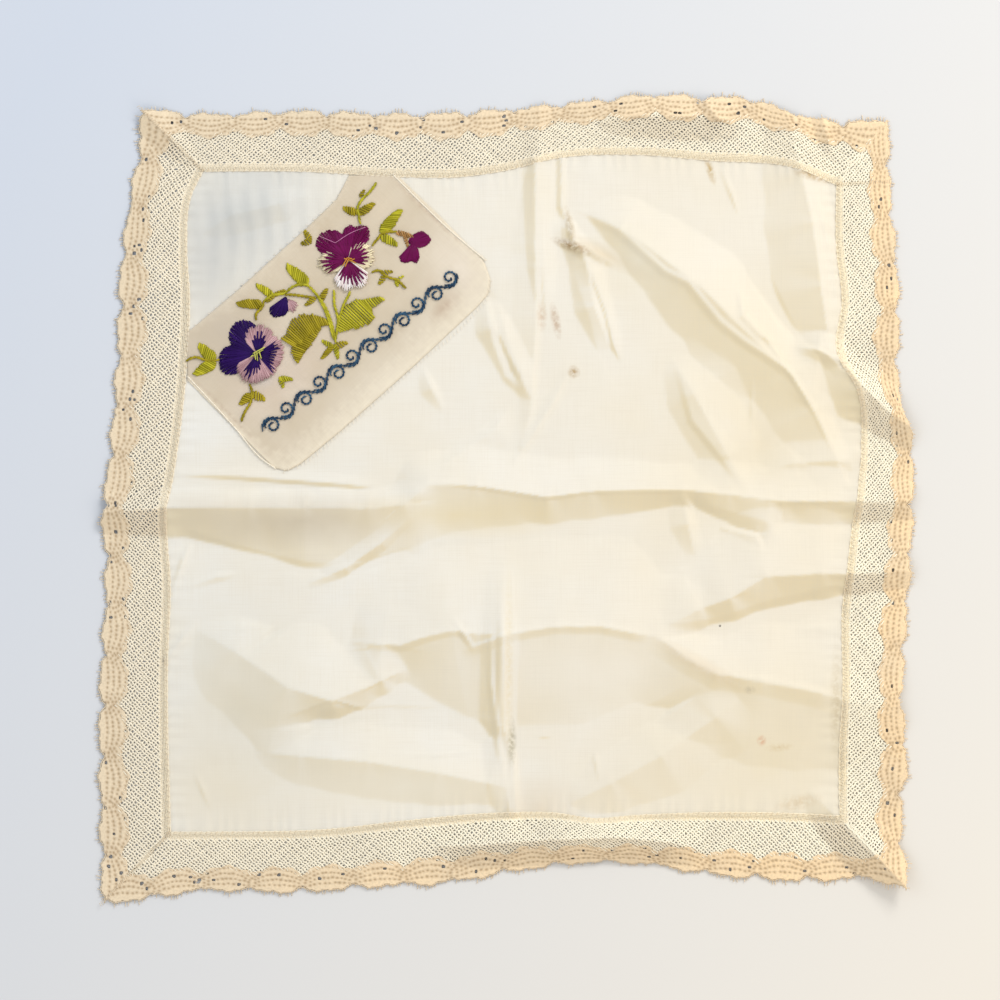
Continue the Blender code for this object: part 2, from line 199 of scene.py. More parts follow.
# %% Fine creases, which only the thin cloth shows
CREASES = {
    "tuck above the middle crease": [
        (-122, 9, 0, 2, 1), (-96, 8, 0.9, 4, 1.1), (-75, 6.5, 0.9, 4, 1.1), (-58, 5.2, 0.8, 4, 1.1),
        (-44, 3.6, 0, 3, 1)],
    "streak across the middle slope": [
        (-72, -31, 0, 3, 2), (-58, -25, 1.5, 5, 3), (-45, -16, 1.2, 5, 3), (-34, -6, 0, 4, 2)],
    "groove on the mound": [
        (-95.5, -56.6, 0, 1.4, 2.4), (-83, -47, -1.1, 1.4, 2.4), (-72, -38, 0, 1.4, 2)],
    "line by the left seam": [
        (-123, -58, 0.6, 1.5, 3), (-117, -50, 1, 2, 4), (-111, -44, 0, 2, 3)],
    "upright line by the left seam": [
        (-121, -34, 0.3, 1.5, 2), (-117, -22, 0.8, 1.5, 2), (-114, -15, 0, 1.5, 2)],
    "short line by the left seam": [
        (-116, -32, 0, 1.5, 2), (-104, -28, 0.6, 1.5, 2.5), (-95, -27, 0, 1.5, 2)],
    "lower short line": [
        (-107, -50, 0, 1.5, 2), (-96, -46, 0.5, 2, 2.5), (-88, -46, 0, 1.5, 2)],
    "sharp line of the lower middle": [
        (-0.8, -36, 0, 1.6, 2.4), (-0.8, -52, 1, 1.8, 3), (-0.8, -82, 1.2, 1.8, 3),
        (2.6, -94, 1.3, 2.2, 2.6), (3.2, -113, 0.8, 2, 3)],
    "second line of the lower middle": [
        (-5.4, -42, 0, 1.5, 1.5), (-5.4, -66, 0.7, 1.6, 1.6), (-3.2, -86, 0.6, 1.6, 1.6),
        (-2, -96, 0, 1.5, 1.5)],
    "left line of the upper middle": [
        (10.5, 123, 0.8, 1.8, 2.4), (10.5, 92, 1, 2, 9), (11, 66, 1, 2, 9), (9, 32, 0.7, 2, 5),
        (4.7, 17, 0, 2, 3)],
    "right line of the upper middle": [
        (20, 123, 0.8, 2, 2), (20, 106, 0.9, 2, 2), (23, 97, 0, 2, 2)],
    "slanting line of the upper middle": [
        (24, 49, 0, 1.5, 2), (17, 35, 0.7, 2, 2.5), (6.5, 18.5, 0.6, 2, 2.5), (2, 12, 0, 1.5, 2)],
    "pinch": [
        (19, 93, 0, 1.5, 1.5), (24, 91.5, 1.6, 2, 2.2), (32, 89, 1.6, 2.4, 2.6), (41, 84, 0, 2, 3)],
    "upright pinch": [
        (22, 104, 0, 1.5, 1.5), (24, 98, 1.2, 2, 2), (23.5, 92, 0, 1.5, 1.5)],
    "hollow right of the panel": [
        (-6.5, 76, 0, 2, 2), (-2.5, 58, -1.2, 3, 2.6), (2, 46, -1, 3, 2.6), (6, 41, 0, 2, 2)],
    "curl in the upper right": [
        (84, 78, 0, 1.5, 1.5), (85.5, 66, 0.9, 2, 2), (92, 59, 0.9, 2, 2.2), (99, 56, 0, 1.5, 2)],
    "valley of the upper right": [
        (78, 112, 0, 3, 3), (86, 99, -0.8, 4, 4), (91, 82, -1, 4, 4), (100, 65, -0.8, 3, 3),
        (106, 56, 0, 2, 2)],
    "roll above the right of the crease": [
        (90, 9, 0, 5, 5), (104, 13, 1.6, 8, 9), (124, 14, 1.6, 8, 9)],
    "wedge below the crease": [
        (64, 0, 0.6, 4, 6), (66, -9, 1.6, 4, 7), (68.5, -21, 0, 3, 3)],
    "dash by the lower middle": [
        (10, -86.5, 0, 1, 1), (14, -86, 0.5, 1.2, 1.2), (19, -86, 0, 1, 1)],
    "thin upright line at the lower right": [
        (31.5, -87, 0, 1, 1), (32.5, -95, 0.4, 1.2, 1.2), (34, -103, 0, 1, 1)],
    "step by the right seam": [
        (104, -47.5, 0, 1.5, 2), (114, -46.5, 0.5, 2, 3), (123, -46, 0.4, 2, 3)],
    "soft line from the middle": [
        (-30, 8, 0, 3, 3), (-20, 14, 0.9, 4, 7), (-4, 25, 0.9, 4, 7), (2, 36, 0, 3, 4)],
    "crumple left of the middle": [
        (-31, 50, 0, 2, 3), (-27, 40, 1.1, 3, 5), (-22, 31, 0, 2, 3)],
    "tuck of the top lace": [
        (69, 147, 1, 2, 3), (74, 141, 1.4, 2, 3), (79, 135, 0, 2, 2)],
    "pleat near the upper right corner": [
        (114, 141, 1, 1.6, 4), (116.2, 132, 1.5, 1.6, 4), (118.5, 124, 0, 1.5, 3)],
    "mark in the panel": [
        (-49, 67, 0, 0.8, 0.8), (-46, 62, 0.4, 1, 1), (-43, 57, 0, 0.8, 0.8)],
    "lower mark in the panel": [
        (-79, 43, 0, 0.8, 0.8), (-75, 41, 0.35, 1, 1), (-71, 38, 0, 0.8, 0.8)],
}


# %% Creases of one height, which fade out at their ends
EVEN_CREASES = {
    # name: height, reach up, reach down, places x, y
    "edge of the middle crease": (0.5, 1.3, 0.8, [(-29.1, 6.6), (-5.8, 3.7), (14.2, 0.4), (30, 2.5),
        (45.8, 3.3), (64.9, 3.3), (81.6, 1.7), (99.9, -0.8), (119, -0.8), (126.5, -0.8)]),
    "hook below the crease": (-1.1, 5, 1.3, [(64.9, 1.7), (71.6, -6.7), (81.6, -10), (91.6, -12.5),
        (94.5, -19.2)]),
    "foot of the short swell": (-1, 5, 1.2, [(54.1, -50.4), (64.9, -49.8), (77.4, -47.9), (96.6, -41.6),
        (110.7, -38.3), (127.4, -34.1)]),
    "lower edge of the bright wedge": (0.8, 1.8, 6, [(52.5, -48.3), (63.3, -55.8), (76.6, -63.3),
        (89.9, -64.5), (110.7, -69.1), (124.9, -73.7)]),
    "edge of the long swell": (0.6, 1.4, 3, [(-15.8, -54.9), (-5.8, -51.6), (-0.8, -49.1), (17.5, -45.8),
        (34.1, -45.8), (45.8, -48.3), (52.5, -49.5)]),
    "valley of the slanting roll": (-0.9, 5, 1.4, [(21.7, -94.1), (30.8, -89.1), (40.8, -84.5),
        (57.5, -77.4), (70.8, -69.1)]),
    "foot of the mound's right side": (-1, 5, 1.2, [(-82.1, -83.2), (-67.2, -80.7), (-42.2, -79.7),
        (-27.2, -80.3), (-14.7, -84.1), (-2.3, -87)]),
    "foot of the middle slope": (-0.8, 4, 1.2, [(-120.4, -13.7), (-115, -15), (-100.5, -20),
        (-85.5, -24.1), (-73.8, -26.6), (-60.5, -27.5)]),
    "dark wedge by the streak": (-0.9, 3, 1.2, [(-62.2, -34.5), (-53.9, -26.6), (-42.2, -22.5),
        (-33.9, -20)]),
    "small fold under the middle": (0.9, 1.5, 1.4, [(-19.7, -42.5), (-15.6, -48.3), (-11.4, -54.9)]),
    "pair of light lines": (0.35, 0.9, 0.9, [(-43.9, -92), (-25.6, -92.8), (-8.9, -91.1)]),
    "line at the lower left": (0.5, 1, 1.6, [(-112.9, -98.2), (-109.6, -105.7), (-105.5, -115.7)]),
    "spear of the long swell": (0.6, 1.2, 2.5, [(-56.3, -51.6), (-38, -52.9), (-28.9, -49.5),
        (-19.7, -47), (-8.9, -49.1)]),
    "edge of the slanting crest": (0.6, 1.6, 2.4, [(21.7, 107), (40.8, 97.4), (57.5, 82.4), (65.8, 78.2),
        (77.4, 64.1), (85.7, 57.4), (98.2, 49.1), (106.6, 41.6)]),
    "line beside the slanting crest": (0.7, 1.2, 1.6, [(84.1, 77.4), (86.6, 66.6), (94.1, 58.3),
        (104.9, 42.5), (112.4, 30.8), (119.9, 15.8)]),
    "edge of the right strip": (0.5, 1.2, 1.5, [(109.1, 117.4), (114.9, 100.7), (118.2, 86.6),
        (119.9, 73.2), (119, 59.9)]),
    "curl over the tuck": (0.8, 1.2, 3.5, [(104.1, 55.8), (109.9, 54.8), (115.7, 52.4), (122.4, 45.8)]),
    "groove of the streak": (-0.9, 1.3, 5, [(29.2, 84.9), (31.2, 77.4), (35, 67.4), (37.9, 54.9),
        (45, 39.1)]),
    "slant right of the middle": (0.6, 7, 1.8, [(61.6, 49.1), (67.4, 28.3), (77.4, 15.8), (86.6, 3.3)]),
    "upright line right of the middle": (0.3, 0.9, 1, [(89.1, 44.1), (89.2, 30.8), (89.1, 18.3)]),
    "line down from the top seam": (0.5, 1.6, 1.4, [(77.4, 121.5), (81.6, 110.7), (87.4, 93.2),
        (92, 79.9)]),
    "short line by the pinch": (1, 1.6, 1.6, [(22.5, 97.4), (25.8, 91.6), (28.7, 86.6)]),
}
for name, (height, up, down, places) in EVEN_CREASES.items():
    ends = (places[0], places[-1])
    CREASES[name] = [(x, y, 0.0 if (x, y) in ends else height, up, down) for x, y in places]


# %% [markdown]
# The height at a place is the sum of all folds there. A place is compared with each stretch of a
# crest, and the stretches are blended by nearness, so that a bend has no corner. Slack cloth also
# buckles a little everywhere, which a sum of random shallow waves gives.

# %% The height of the cloth
def fold_height(stations, x, y):
    """Height of one fold over the places x, y: slopes that run down from its crest."""
    rows = np.array(stations, dtype=float)
    widest = rows[:, 3:5].max()
    low, high = rows[:, :2].min(axis=0) - widest, rows[:, :2].max(axis=0) + widest
    near = (x > low[0]) & (x < high[0]) & (y > low[1]) & (y < high[1])
    height = np.zeros(x.shape)
    if not near.any():
        return height
    x, y = x[near], y[near]
    distances, heights = [], []
    for start, end in zip(rows[:-1], rows[1:]):
        run, rise = end[0] - start[0], end[1] - start[1]
        share = ((x - start[0]) * run + (y - start[1]) * rise) / (run**2 + rise**2)
        share = np.clip(share, 0.0, 1.0)
        off_x = x - start[0] - share * run
        off_y = y - start[1] - share * rise
        away = np.hypot(off_x, off_y)
        crest, upper, lower = (start[i] + share * (end[i] - start[i]) for i in (2, 3, 4))
        on_upper_side = run * off_y - rise * off_x > 0
        slope = 1.0 - away / np.where(on_upper_side, upper, lower)
        distances.append(away)
        heights.append(crest * np.clip(slope, 0.0, 1.0) ** SHARPNESS)
    distances = np.array(distances)
    weight = np.exp((distances.min(axis=0) - distances) / (BLEND * widest))
    height[near] = (np.array(heights) * weight).sum(axis=0) / weight.sum(axis=0)
    return height


def some_waves(count, low, high):
    """Shallow waves: how tight each one is, which way it runs and where it starts."""
    return [(CHANCE.uniform(low, high), CHANCE.uniform(0, math.tau), CHANCE.uniform(0, math.tau))
            for _ in range(count)]


WAVES = some_waves(14, 0.05, 0.16)
RIPPLES = some_waves(16, 0.2, 0.6)


def buckles(x, y, waves):
    """Slack in the cloth: a sum of shallow waves in all directions."""
    total = sum(np.sin(turns * (x * math.cos(way) + y * math.sin(way)) + start)
                for turns, way, start in waves)
    return total / len(waves)


def lift(x, y):
    """Height of the cloth over the surface at the places x, y, in millimetres."""
    x, y = np.asarray(x, dtype=float), np.asarray(y, dtype=float)
    total = sum(fold_height(rows, x, y) for rows in FOLDS.values())
    total = np.clip(total - FLAT_BELOW, 0.0, MOST_LIFT)
    fine = sum(fold_height(rows, x, y) for rows in CREASES.values())
    fine = fine + 0.5 * buckles(x, y, WAVES) + 0.16 * buckles(x, y, RIPPLES)
    return np.maximum(total + fine, 0.0) + 0.05


LIGHT_WAY = (0.55, 0.83)     # the window stands to the upper right


# Painted shade: materials tan and darken the colour where this share is high.
def painted_slope_shade(x, y):
    """Painted shade: 1 where the cloth slopes away from the window, 0 where it is flat or faces it."""
    reach = 0.6
    rise = lift(x + reach * LIGHT_WAY[0], y + reach * LIGHT_WAY[1])
    fall = lift(x - reach * LIGHT_WAY[0], y - reach * LIGHT_WAY[1])
    return np.clip(((rise - fall) / (2 * reach) - 0.04) / 0.30, 0.0, 1.0)


print("folds:", len(FOLDS), "creases:", len(CREASES))

# %% [markdown]
# ## Materials
# Every cloth here is undyed or lightly dyed thread that has yellowed unevenly. A material starts from
# a thread colour, and soft noise, thread streaks, a few stains, and painted shade and painted light
# change it. All of it reads Object coordinates, so a stain stays on its place in the cloth.


# %% Small helpers for node trees
def start_material(name):
    """A material with an empty tree and its output."""
    material = bpy.data.materials.new(name)
    material.use_nodes = True
    tree = material.node_tree
    tree.nodes.clear()
    return material, tree, tree.nodes.new("ShaderNodeOutputMaterial")


def place_node(tree, centre, reach, turn=0.0):
    """Object coordinates measured from a centre, in units of a reach, both in millimetres."""
    source = tree.nodes.new("ShaderNodeTexCoord")
    mapping = tree.nodes.new("ShaderNodeMapping")
    mapping.vector_type = "TEXTURE"
    mapping.inputs["Location"].default_value = (centre[0] * MM, centre[1] * MM, 0)
    mapping.inputs["Rotation"].default_value = (0, 0, turn)
    mapping.inputs["Scale"].default_value = (reach[0] * MM, reach[1] * MM, 1.0)
    tree.links.new(source.outputs["Object"], mapping.inputs["Vector"])
    return mapping.outputs["Vector"]


def times_node(tree, first, second):
    """A value times another value or a number."""
    node = tree.nodes.new("ShaderNodeMath")
    node.operation = "MULTIPLY"
    tree.links.new(first, node.inputs[0])
    if isinstance(second, float):
        node.inputs[1].default_value = second
    else:
        tree.links.new(second, node.inputs[1])
    return node.outputs[0]


def drift_node(tree, centre, reach, turn=0.0, kind="LINEAR"):
    """A value that runs from 0 to 1 over a reach, or from a ball's rim to its middle."""
    drift = tree.nodes.new("ShaderNodeTexGradient")
    drift.gradient_type = kind
    tree.links.new(place_node(tree, centre, reach, turn), drift.inputs["Vector"])
    return drift.outputs["Fac"]


def noise_node(tree, centre, reach, detail, low, high, turn=0.0):
    """Patches of a reach, spread so that they run from 0 to 1 between low and high."""
    noise = tree.nodes.new("ShaderNodeTexNoise")
    noise.inputs["Scale"].default_value = 1.0
    noise.inputs["Detail"].default_value = detail
    tree.links.new(place_node(tree, centre, reach, turn), noise.inputs["Vector"])
    spread = tree.nodes.new("ShaderNodeMapRange")
    spread.inputs["From Min"].default_value = low
    spread.inputs["From Max"].default_value = high
    tree.links.new(noise.outputs["Fac"], spread.inputs["Value"])
    return spread.outputs["Result"]


# %% [markdown]
# A colour is changed in layers, and each layer shows by a share from 0 to 1. Some shares are marks
# stored on the mesh by Python: painted shade where a slope turns from the window, painted shade at
# the lace's pin holes, and a tone per thread. A stain is a soft ball of colour, broken up by noise,
# because real stains have uneven rims, and patches of painted shade and light are made the same way.

# %% Mix colours, marks, stains and painted shade
def tint_node(tree, share, under, over, strength=1.0):
    """Colour under, changed towards over by a share."""
    mix = tree.nodes.new("ShaderNodeMix")
    mix.data_type = "RGBA"
    tree.links.new(times_node(tree, share, float(strength)), mix.inputs["Factor"])
    for colour, socket in ((under, mix.inputs["A"]), (over, mix.inputs["B"])):
        if isinstance(colour, tuple):
            socket.default_value = (*colour, 1.0)
        else:
            tree.links.new(colour, socket)
    return mix.outputs["Result"]


def mark_node(tree, name):
    """A mark that a piece carries, such as painted shade on its slopes or a tone per thread."""
    mark = tree.nodes.new("ShaderNodeAttribute")
    mark.attribute_name = name
    return mark.outputs["Fac"]


def rough_nodes(tree):
    """Two unevennesses that all spots of a cloth share: a fine one and a broad one."""
    return [noise_node(tree, (4, 8), (size, size), 2.0, low, 0.6)
            for size, low in ((1.5, 0.25), (11.0, -0.7))]


def surface(tree, output, colour, roughness, specular, sheen=0.0):
    """A plain surface with a colour."""
    shader = tree.nodes.new("ShaderNodeBsdfPrincipled")
    shader.inputs["Roughness"].default_value = roughness
    shader.inputs["Specular IOR Level"].default_value = specular
    shader.inputs["Sheen Weight"].default_value = sheen
    tree.links.new(colour, shader.inputs["Base Color"])
    tree.links.new(shader.outputs[0], output.inputs["Surface"])


def spot_node(tree, rough_pair, centre, reach, turn):
    """A soft uneven spot: 1 in its middle and 0 outside its reach."""
    rough = rough_pair[0] if min(reach) < 4.0 else rough_pair[1]
    return times_node(tree, drift_node(tree, centre, reach, turn, "SPHERICAL"), rough)


def add_stains_and_painted_light(tree, colour, spot_rows):
    """A colour with the spots of a table on it: discoloured spots, painted shade and painted light."""
    rough_pair = rough_nodes(tree)
    for x, y, reach_x, reach_y, turn, strength, spot_colour in spot_rows:
        spot = spot_node(tree, rough_pair, (x, y), (reach_x, reach_y), turn)
        colour = tint_node(tree, spot, colour, spot_colour, strength)
    return colour


# %% [markdown]
# Sheer cloth is thread and gaps too small to draw. So its surface mixes matt cloth, some light that
# passes through, and a little that is clear, and a bump of two crossing waves gives the weave.

# %% Weave and surfaces
def weave_bump(tree, pitch, strength):
    """Fine relief of crossing threads, pitch millimetres apart."""
    total = None
    for direction in ("X", "Y"):
        wave = tree.nodes.new("ShaderNodeTexWave")
        wave.bands_direction = direction
        wave.inputs["Scale"].default_value = math.tau / (20 * pitch * MM)
        wave.inputs["Distortion"].default_value = 1.5
        wave.inputs["Detail"].default_value = 0.0
        source = tree.nodes.new("ShaderNodeTexCoord")
        tree.links.new(source.outputs["Object"], wave.inputs["Vector"])
        fact = wave.outputs["Fac"]
        total = fact if total is None else times_node(tree, total, fact)
    bump = tree.nodes.new("ShaderNodeBump")
    bump.inputs["Distance"].default_value = 0.03 * MM
    bump.inputs["Strength"].default_value = strength
    tree.links.new(total, bump.inputs["Height"])
    return bump.outputs["Normal"]


def sheer_surface(tree, output, colour, normal, translucent):
    """A thin cloth: matt thread, some light through it, and gaps that show what is behind."""
    thread = tree.nodes.new("ShaderNodeBsdfPrincipled")
    for socket, value in (("Roughness", 0.7), ("Specular IOR Level", 0.25),
                          ("Sheen Weight", 0.25), ("Sheen Roughness", 0.45)):
        thread.inputs[socket].default_value = value
    glow = tree.nodes.new("ShaderNodeBsdfTranslucent")
    gap = tree.nodes.new("ShaderNodeBsdfTransparent")
    lit = tree.nodes.new("ShaderNodeMixShader")
    lit.inputs["Fac"].default_value = translucent
    seen = tree.nodes.new("ShaderNodeMixShader")
    seen.inputs["Fac"].default_value = 0.08
    for source, socket in ((colour, thread.inputs["Base Color"]), (colour, glow.inputs["Color"]),
                           (normal, thread.inputs["Normal"]), (thread.outputs[0], lit.inputs[1]),
                           (glow.outputs[0], lit.inputs[2]), (lit.outputs[0], seen.inputs[1]),
                           (gap.outputs[0], seen.inputs[2]),
                           (seen.outputs[0], output.inputs["Surface"])):
        tree.links.new(source, socket)


# %% [markdown]
# The ground is a very fine plain weave with a soft sheen. It is sheer, so its gaps and its thin
# threads pass some light. Where a fold turns away from the window, painted shade makes it tan instead
# of grey. Thicker threads run through it as faint streaks both ways, and it has a few rust and tea
# coloured stains, and patches of painted shade and painted light on its folds, each with its own place.

# %% Ground cloth
STAINS_PAINTED_SHADE_AND_LIGHT = [
    # x, y, reach x, reach y, turn, strength, colour
    (24.5, 46.0, 2.6, 2.8, 0.3, 0.95, (0.50, 0.33, 0.14)),
    (18.0, 64.5, 2.0, 7.5, 0.2, 0.75, (0.50, 0.30, 0.15)),
    (13.0, 66.0, 2.4, 6.0, 0.0, 0.50, (0.60, 0.38, 0.20)),
    (24.0, 91.5, 9.0, 2.4, -0.35, 1.10, (0.42, 0.27, 0.12)),
    (38.0, 87.5, 20.0, 4.0, -0.45, 0.45, (0.64, 0.48, 0.24)),
    (23.0, 99.0, 2.0, 8.0, 0.2, 0.80, (0.50, 0.36, 0.18)),
    (44.0, 74.0, 12.0, 26.0, 0.6, 0.15, (0.84, 0.70, 0.42)),
    (74.0, 119.0, 1.8, 6.0, 0.3, 0.90, (0.60, 0.40, 0.12)),
    (112.0, 117.0, 10.0, 2.4, -0.2, 0.95, (0.55, 0.36, 0.13)),
    (92.5, -87.5, 2.0, 2.4, 0.0, 1.00, (0.72, 0.30, 0.14)),
    (99.0, -90.0, 6.0, 1.8, 0.1, 0.60, (0.62, 0.44, 0.18)),
    (88.0, -69.0, 2.6, 1.8, 0.0, 0.55, (0.40, 0.34, 0.24)),
    (77.5, -46.0, 0.55, 0.55, 0.0, 1.80, (0.08, 0.07, 0.06)),
    (-95.7, 77.0, 0.7, 0.7, 0.0, 1.50, (0.10, 0.10, 0.12)),
    (106.0, -110.0, 10.0, 3.4, 0.2, 0.55, (0.62, 0.44, 0.22)),
    (119.5, -75.0, 3.0, 24.0, 0.0, 0.60, (0.62, 0.50, 0.30)),
    (70.0, -60.0, 22.0, 4.0, -0.5, 0.40, (0.72, 0.56, 0.36)),
    # painted light: the next two rows lighten fold shade at the lower left and the upper right
    (-38.0, -104.0, 45.0, 14.0, 0.0, 0.85, (0.94, 0.88, 0.74)),
    (48.6, 85.9, 22.0, 12.0, -0.8, 0.70, (0.93, 0.87, 0.72)),
    # painted shade: a broad tan-grey shade over the mound at the lower left
    (-98.0, -80.0, 46.0, 64.0, 0.0, 0.50, (0.76, 0.71, 0.58)),
    (-95.0, -108.0, 44.0, 20.0, 0.0, 0.35, (0.86, 0.76, 0.56)),
    (92.0, 30.0, 60.0, 60.0, 0.0, 0.30, (0.90, 0.77, 0.50)),
    (95.0, -95.0, 70.0, 45.0, 0.0, 0.40, (0.90, 0.78, 0.52)),
    # the next two rows make the corner above the panel greyer
    (-96.0, 102.0, 40.0, 34.0, 0.6, 0.85, (0.62, 0.63, 0.61)),
    (-108.0, 84.0, 14.0, 30.0, 0.0, 0.60, (0.62, 0.62, 0.60)),
    # painted shade: the shaded side below the middle crease
    (-75.0, -8.0, 52.0, 11.0, 0.05, 0.80, (0.66, 0.57, 0.43)),
    # painted light: a bright patch that lightens the long swell's shade
    (36.0, -63.0, 40.0, 16.0, 0.0, 0.60, (0.95, 0.89, 0.77)),
    # painted shade for the next four rows: below the middle crease, a shadow in the lower middle crease,
    # along that crease, and near the roll at the right
    (-18.0, -6.0, 46.0, 9.0, 0.0, 0.60, (0.88, 0.74, 0.44)),
    (2.1, -88.0, 2.0, 10.0, 0.0, 0.90, (0.42, 0.38, 0.26)),
    (1.0, -60.0, 2.0, 40.0, 0.0, 0.50, (0.84, 0.72, 0.46)),
    (92.0, 20.0, 14.0, 16.0, 0.0, 0.60, (0.86, 0.76, 0.56)),
    (12.5, -112.0, 16.0, 14.0, 0.4, 0.60, (0.80, 0.68, 0.50)),
    # painted shade: the shaded side below the middle crease, at the left
    (-110.0, -4.0, 20.0, 8.0, 0.0, 0.40, (0.66, 0.57, 0.43)),
]


def ground_material():
    """Fine sheer cream cloth with streaks, yellowing, discoloured spots, and painted shade and light."""
    material, tree, output = start_material("sheer_ground")
    across = drift_node(tree, (-100, 0), (200, 200))
    colour = tint_node(tree, across, (0.93, 0.91, 0.85), (0.94, 0.88, 0.76))
    yellowed = noise_node(tree, (0, 0), (40, 40), 3.0, 0.35, 0.7)
    colour = tint_node(tree, yellowed, colour, (0.92, 0.84, 0.68), 0.55)
    # painted shade: tan where a slope turns away from the window
    colour = tint_node(tree, mark_node(tree, "painted_slope_shade"), colour, (0.88, 0.74, 0.46), 0.72)
    for reach in ((0.35, 16.0), (16.0, 0.35)):
        streak = noise_node(tree, (3, 7), reach, 2.0, 0.45, 0.75)
        colour = tint_node(tree, streak, colour, (0.80, 0.73, 0.60), 0.20)
    colour = add_stains_and_painted_light(tree, colour, STAINS_PAINTED_SHADE_AND_LIGHT)
    sheer_surface(tree, output, colour, weave_bump(tree, 0.32, 0.5), 0.25)
    return material


GROUND_CLOTH = ground_material()

# %% [markdown]
# ## The ground cloth
# The ground is one square cut from a fine length. A flat grid is stretched to the four sides of the
# seam, then raised onto the folds. The grid's own UV map keeps the square's sides.


# %% Flat grids laid on the folds
def corners_of(mesh):
    """Places of a mesh's corners, a row each."""
    spots = np.empty(len(mesh.vertices) * 3)
    mesh.vertices.foreach_get("co", spots)
    return spots.reshape(-1, 3)


def flat_grid(name, columns, rows):
    """A unit grid as a mesh, and the share across and up of each of its corners."""
    shape = bmesh.new()
    shape.loops.layers.uv.new("cloth")
    bmesh.ops.create_grid(shape, x_segments=columns, y_segments=rows, size=0.5, calc_uvs=True)
    mesh = bpy.data.meshes.new(name)
    shape.to_mesh(mesh)
    shape.free()
    spots = corners_of(mesh)
    return mesh, spots[:, 0] + 0.5, spots[:, 1] + 0.5


def set_places(mesh, x, y, z):
    """Move a mesh's corners to x, y, z in millimetres."""
    mesh.vertices.foreach_set("co", (np.column_stack([x, y, z]) * MM).ravel())
    mesh.update()


def store_mark(mesh, name, values):
    """Store a value for each corner of a mesh, for its material to read."""
    mark = mesh.attributes.new(name, "FLOAT", "POINT")
    mark.data.foreach_set("value", values.astype(np.float32))


def add_object(name, data):
    """A new object in the scene."""
    made = bpy.data.objects.new(name, data)
    bpy.context.scene.collection.objects.link(made)
    return made


def finish_piece(name, mesh, material):
    """Link a mesh as a piece that rides on the body, marked for painted shade on its slopes."""
    spots = corners_of(mesh) / MM
    # painted shade: how far each corner's slope turns from the window
    store_mark(mesh, "painted_slope_shade", painted_slope_shade(spots[:, 0], spots[:, 1]))
    mesh.materials.clear()
    mesh.materials.append(material)
    mesh.shade_smooth()
    piece = add_object(name, mesh)
    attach(piece, ROOT)
    print(name, "has", len(mesh.polygons), "faces")
    return piece


def give_thickness(piece, thickness):
    """Turn a surface into a thin closed cloth."""
    solid = piece.modifiers.new("Thickness", "SOLIDIFY")
    solid.thickness = thickness * MM
    solid.offset = 1.0


# %% [markdown]
# The four sides are blended across the square, so the grid follows every one of them at its edge.
# Stitching draws the cloth in, so it puckers beside the seam.

# %% The ground
GROUND_GRID = 305
GROUND_RAISED = 0.25     # over the fold surface


def ground_places(u, v):
    """Places inside the seam: its four sides blended across the square."""
    top, bottom, left, right = (SEAM[k] for k in ("top", "bottom", "left", "right"))
    tl, tr, bl, br = top[0], top[-1], bottom[0], bottom[-1]
    x_top = tl[0] + u * (tr[0] - tl[0])
    x_bottom = bl[0] + u * (br[0] - bl[0])
    y_left = bl[1] + v * (tl[1] - bl[1])
    y_right = br[1] + v * (tr[1] - br[1])
    above, below = (x_top, side_line(top, x_top, 0)), (x_bottom, side_line(bottom, x_bottom, 0))
    west, east = (side_line(left, y_left, 1), y_left), (side_line(right, y_right, 1), y_right)
    place = []
    for axis in (0, 1):
        plain = ((1 - u) * (1 - v) * bl[axis] + u * (1 - v) * br[axis]
                 + (1 - u) * v * tl[axis] + u * v * tr[axis])
        place.append((1 - v) * below[axis] + v * above[axis]
                     + (1 - u) * west[axis] + u * east[axis] - plain)
    return place


def puckers(u, v, x, y):
    """Tiny gathers where the lace's stitches draw the cloth in along the seam."""
    to_side = np.minimum.reduce([u, 1 - u]) * 240
    to_end = np.minimum.reduce([v, 1 - v]) * 236
    beside = np.exp(-(to_side / 6.0) ** 2) * np.sin(y * 1.3 + 2.0 * np.sin(y * 0.23))
    above = np.exp(-(to_end / 6.0) ** 2) * np.sin(x * 1.3 + 2.0 * np.sin(x * 0.31))
    return 0.16 * (beside + above)


def ripples(x, y):
    """Soft upright ripples in the corner above the panel."""
    near = np.exp(-((x + 92) / 26) ** 2 - ((y - 100) / 24) ** 2)
    return 0.22 * near * np.sin(x * 0.95 + 1.2 * np.sin(y * 0.12) + 1.0)


mesh, u, v = flat_grid("ground_cloth", GROUND_GRID, GROUND_GRID)
x, y = ground_places(u, v)
set_places(mesh, x, y, lift(x, y) + GROUND_RAISED + puckers(u, v, x, y) + ripples(x, y))
ground = finish_piece("ground_cloth", mesh, GROUND_CLOTH)
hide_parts("ground")

# %% [markdown]
# ## The panel
# The embroidered panel is organdie, a stiff sheer cotton, cut as a slanting band with rounded tips
# and sewn to the ground. Its place runs from the left lace up to the top lace.

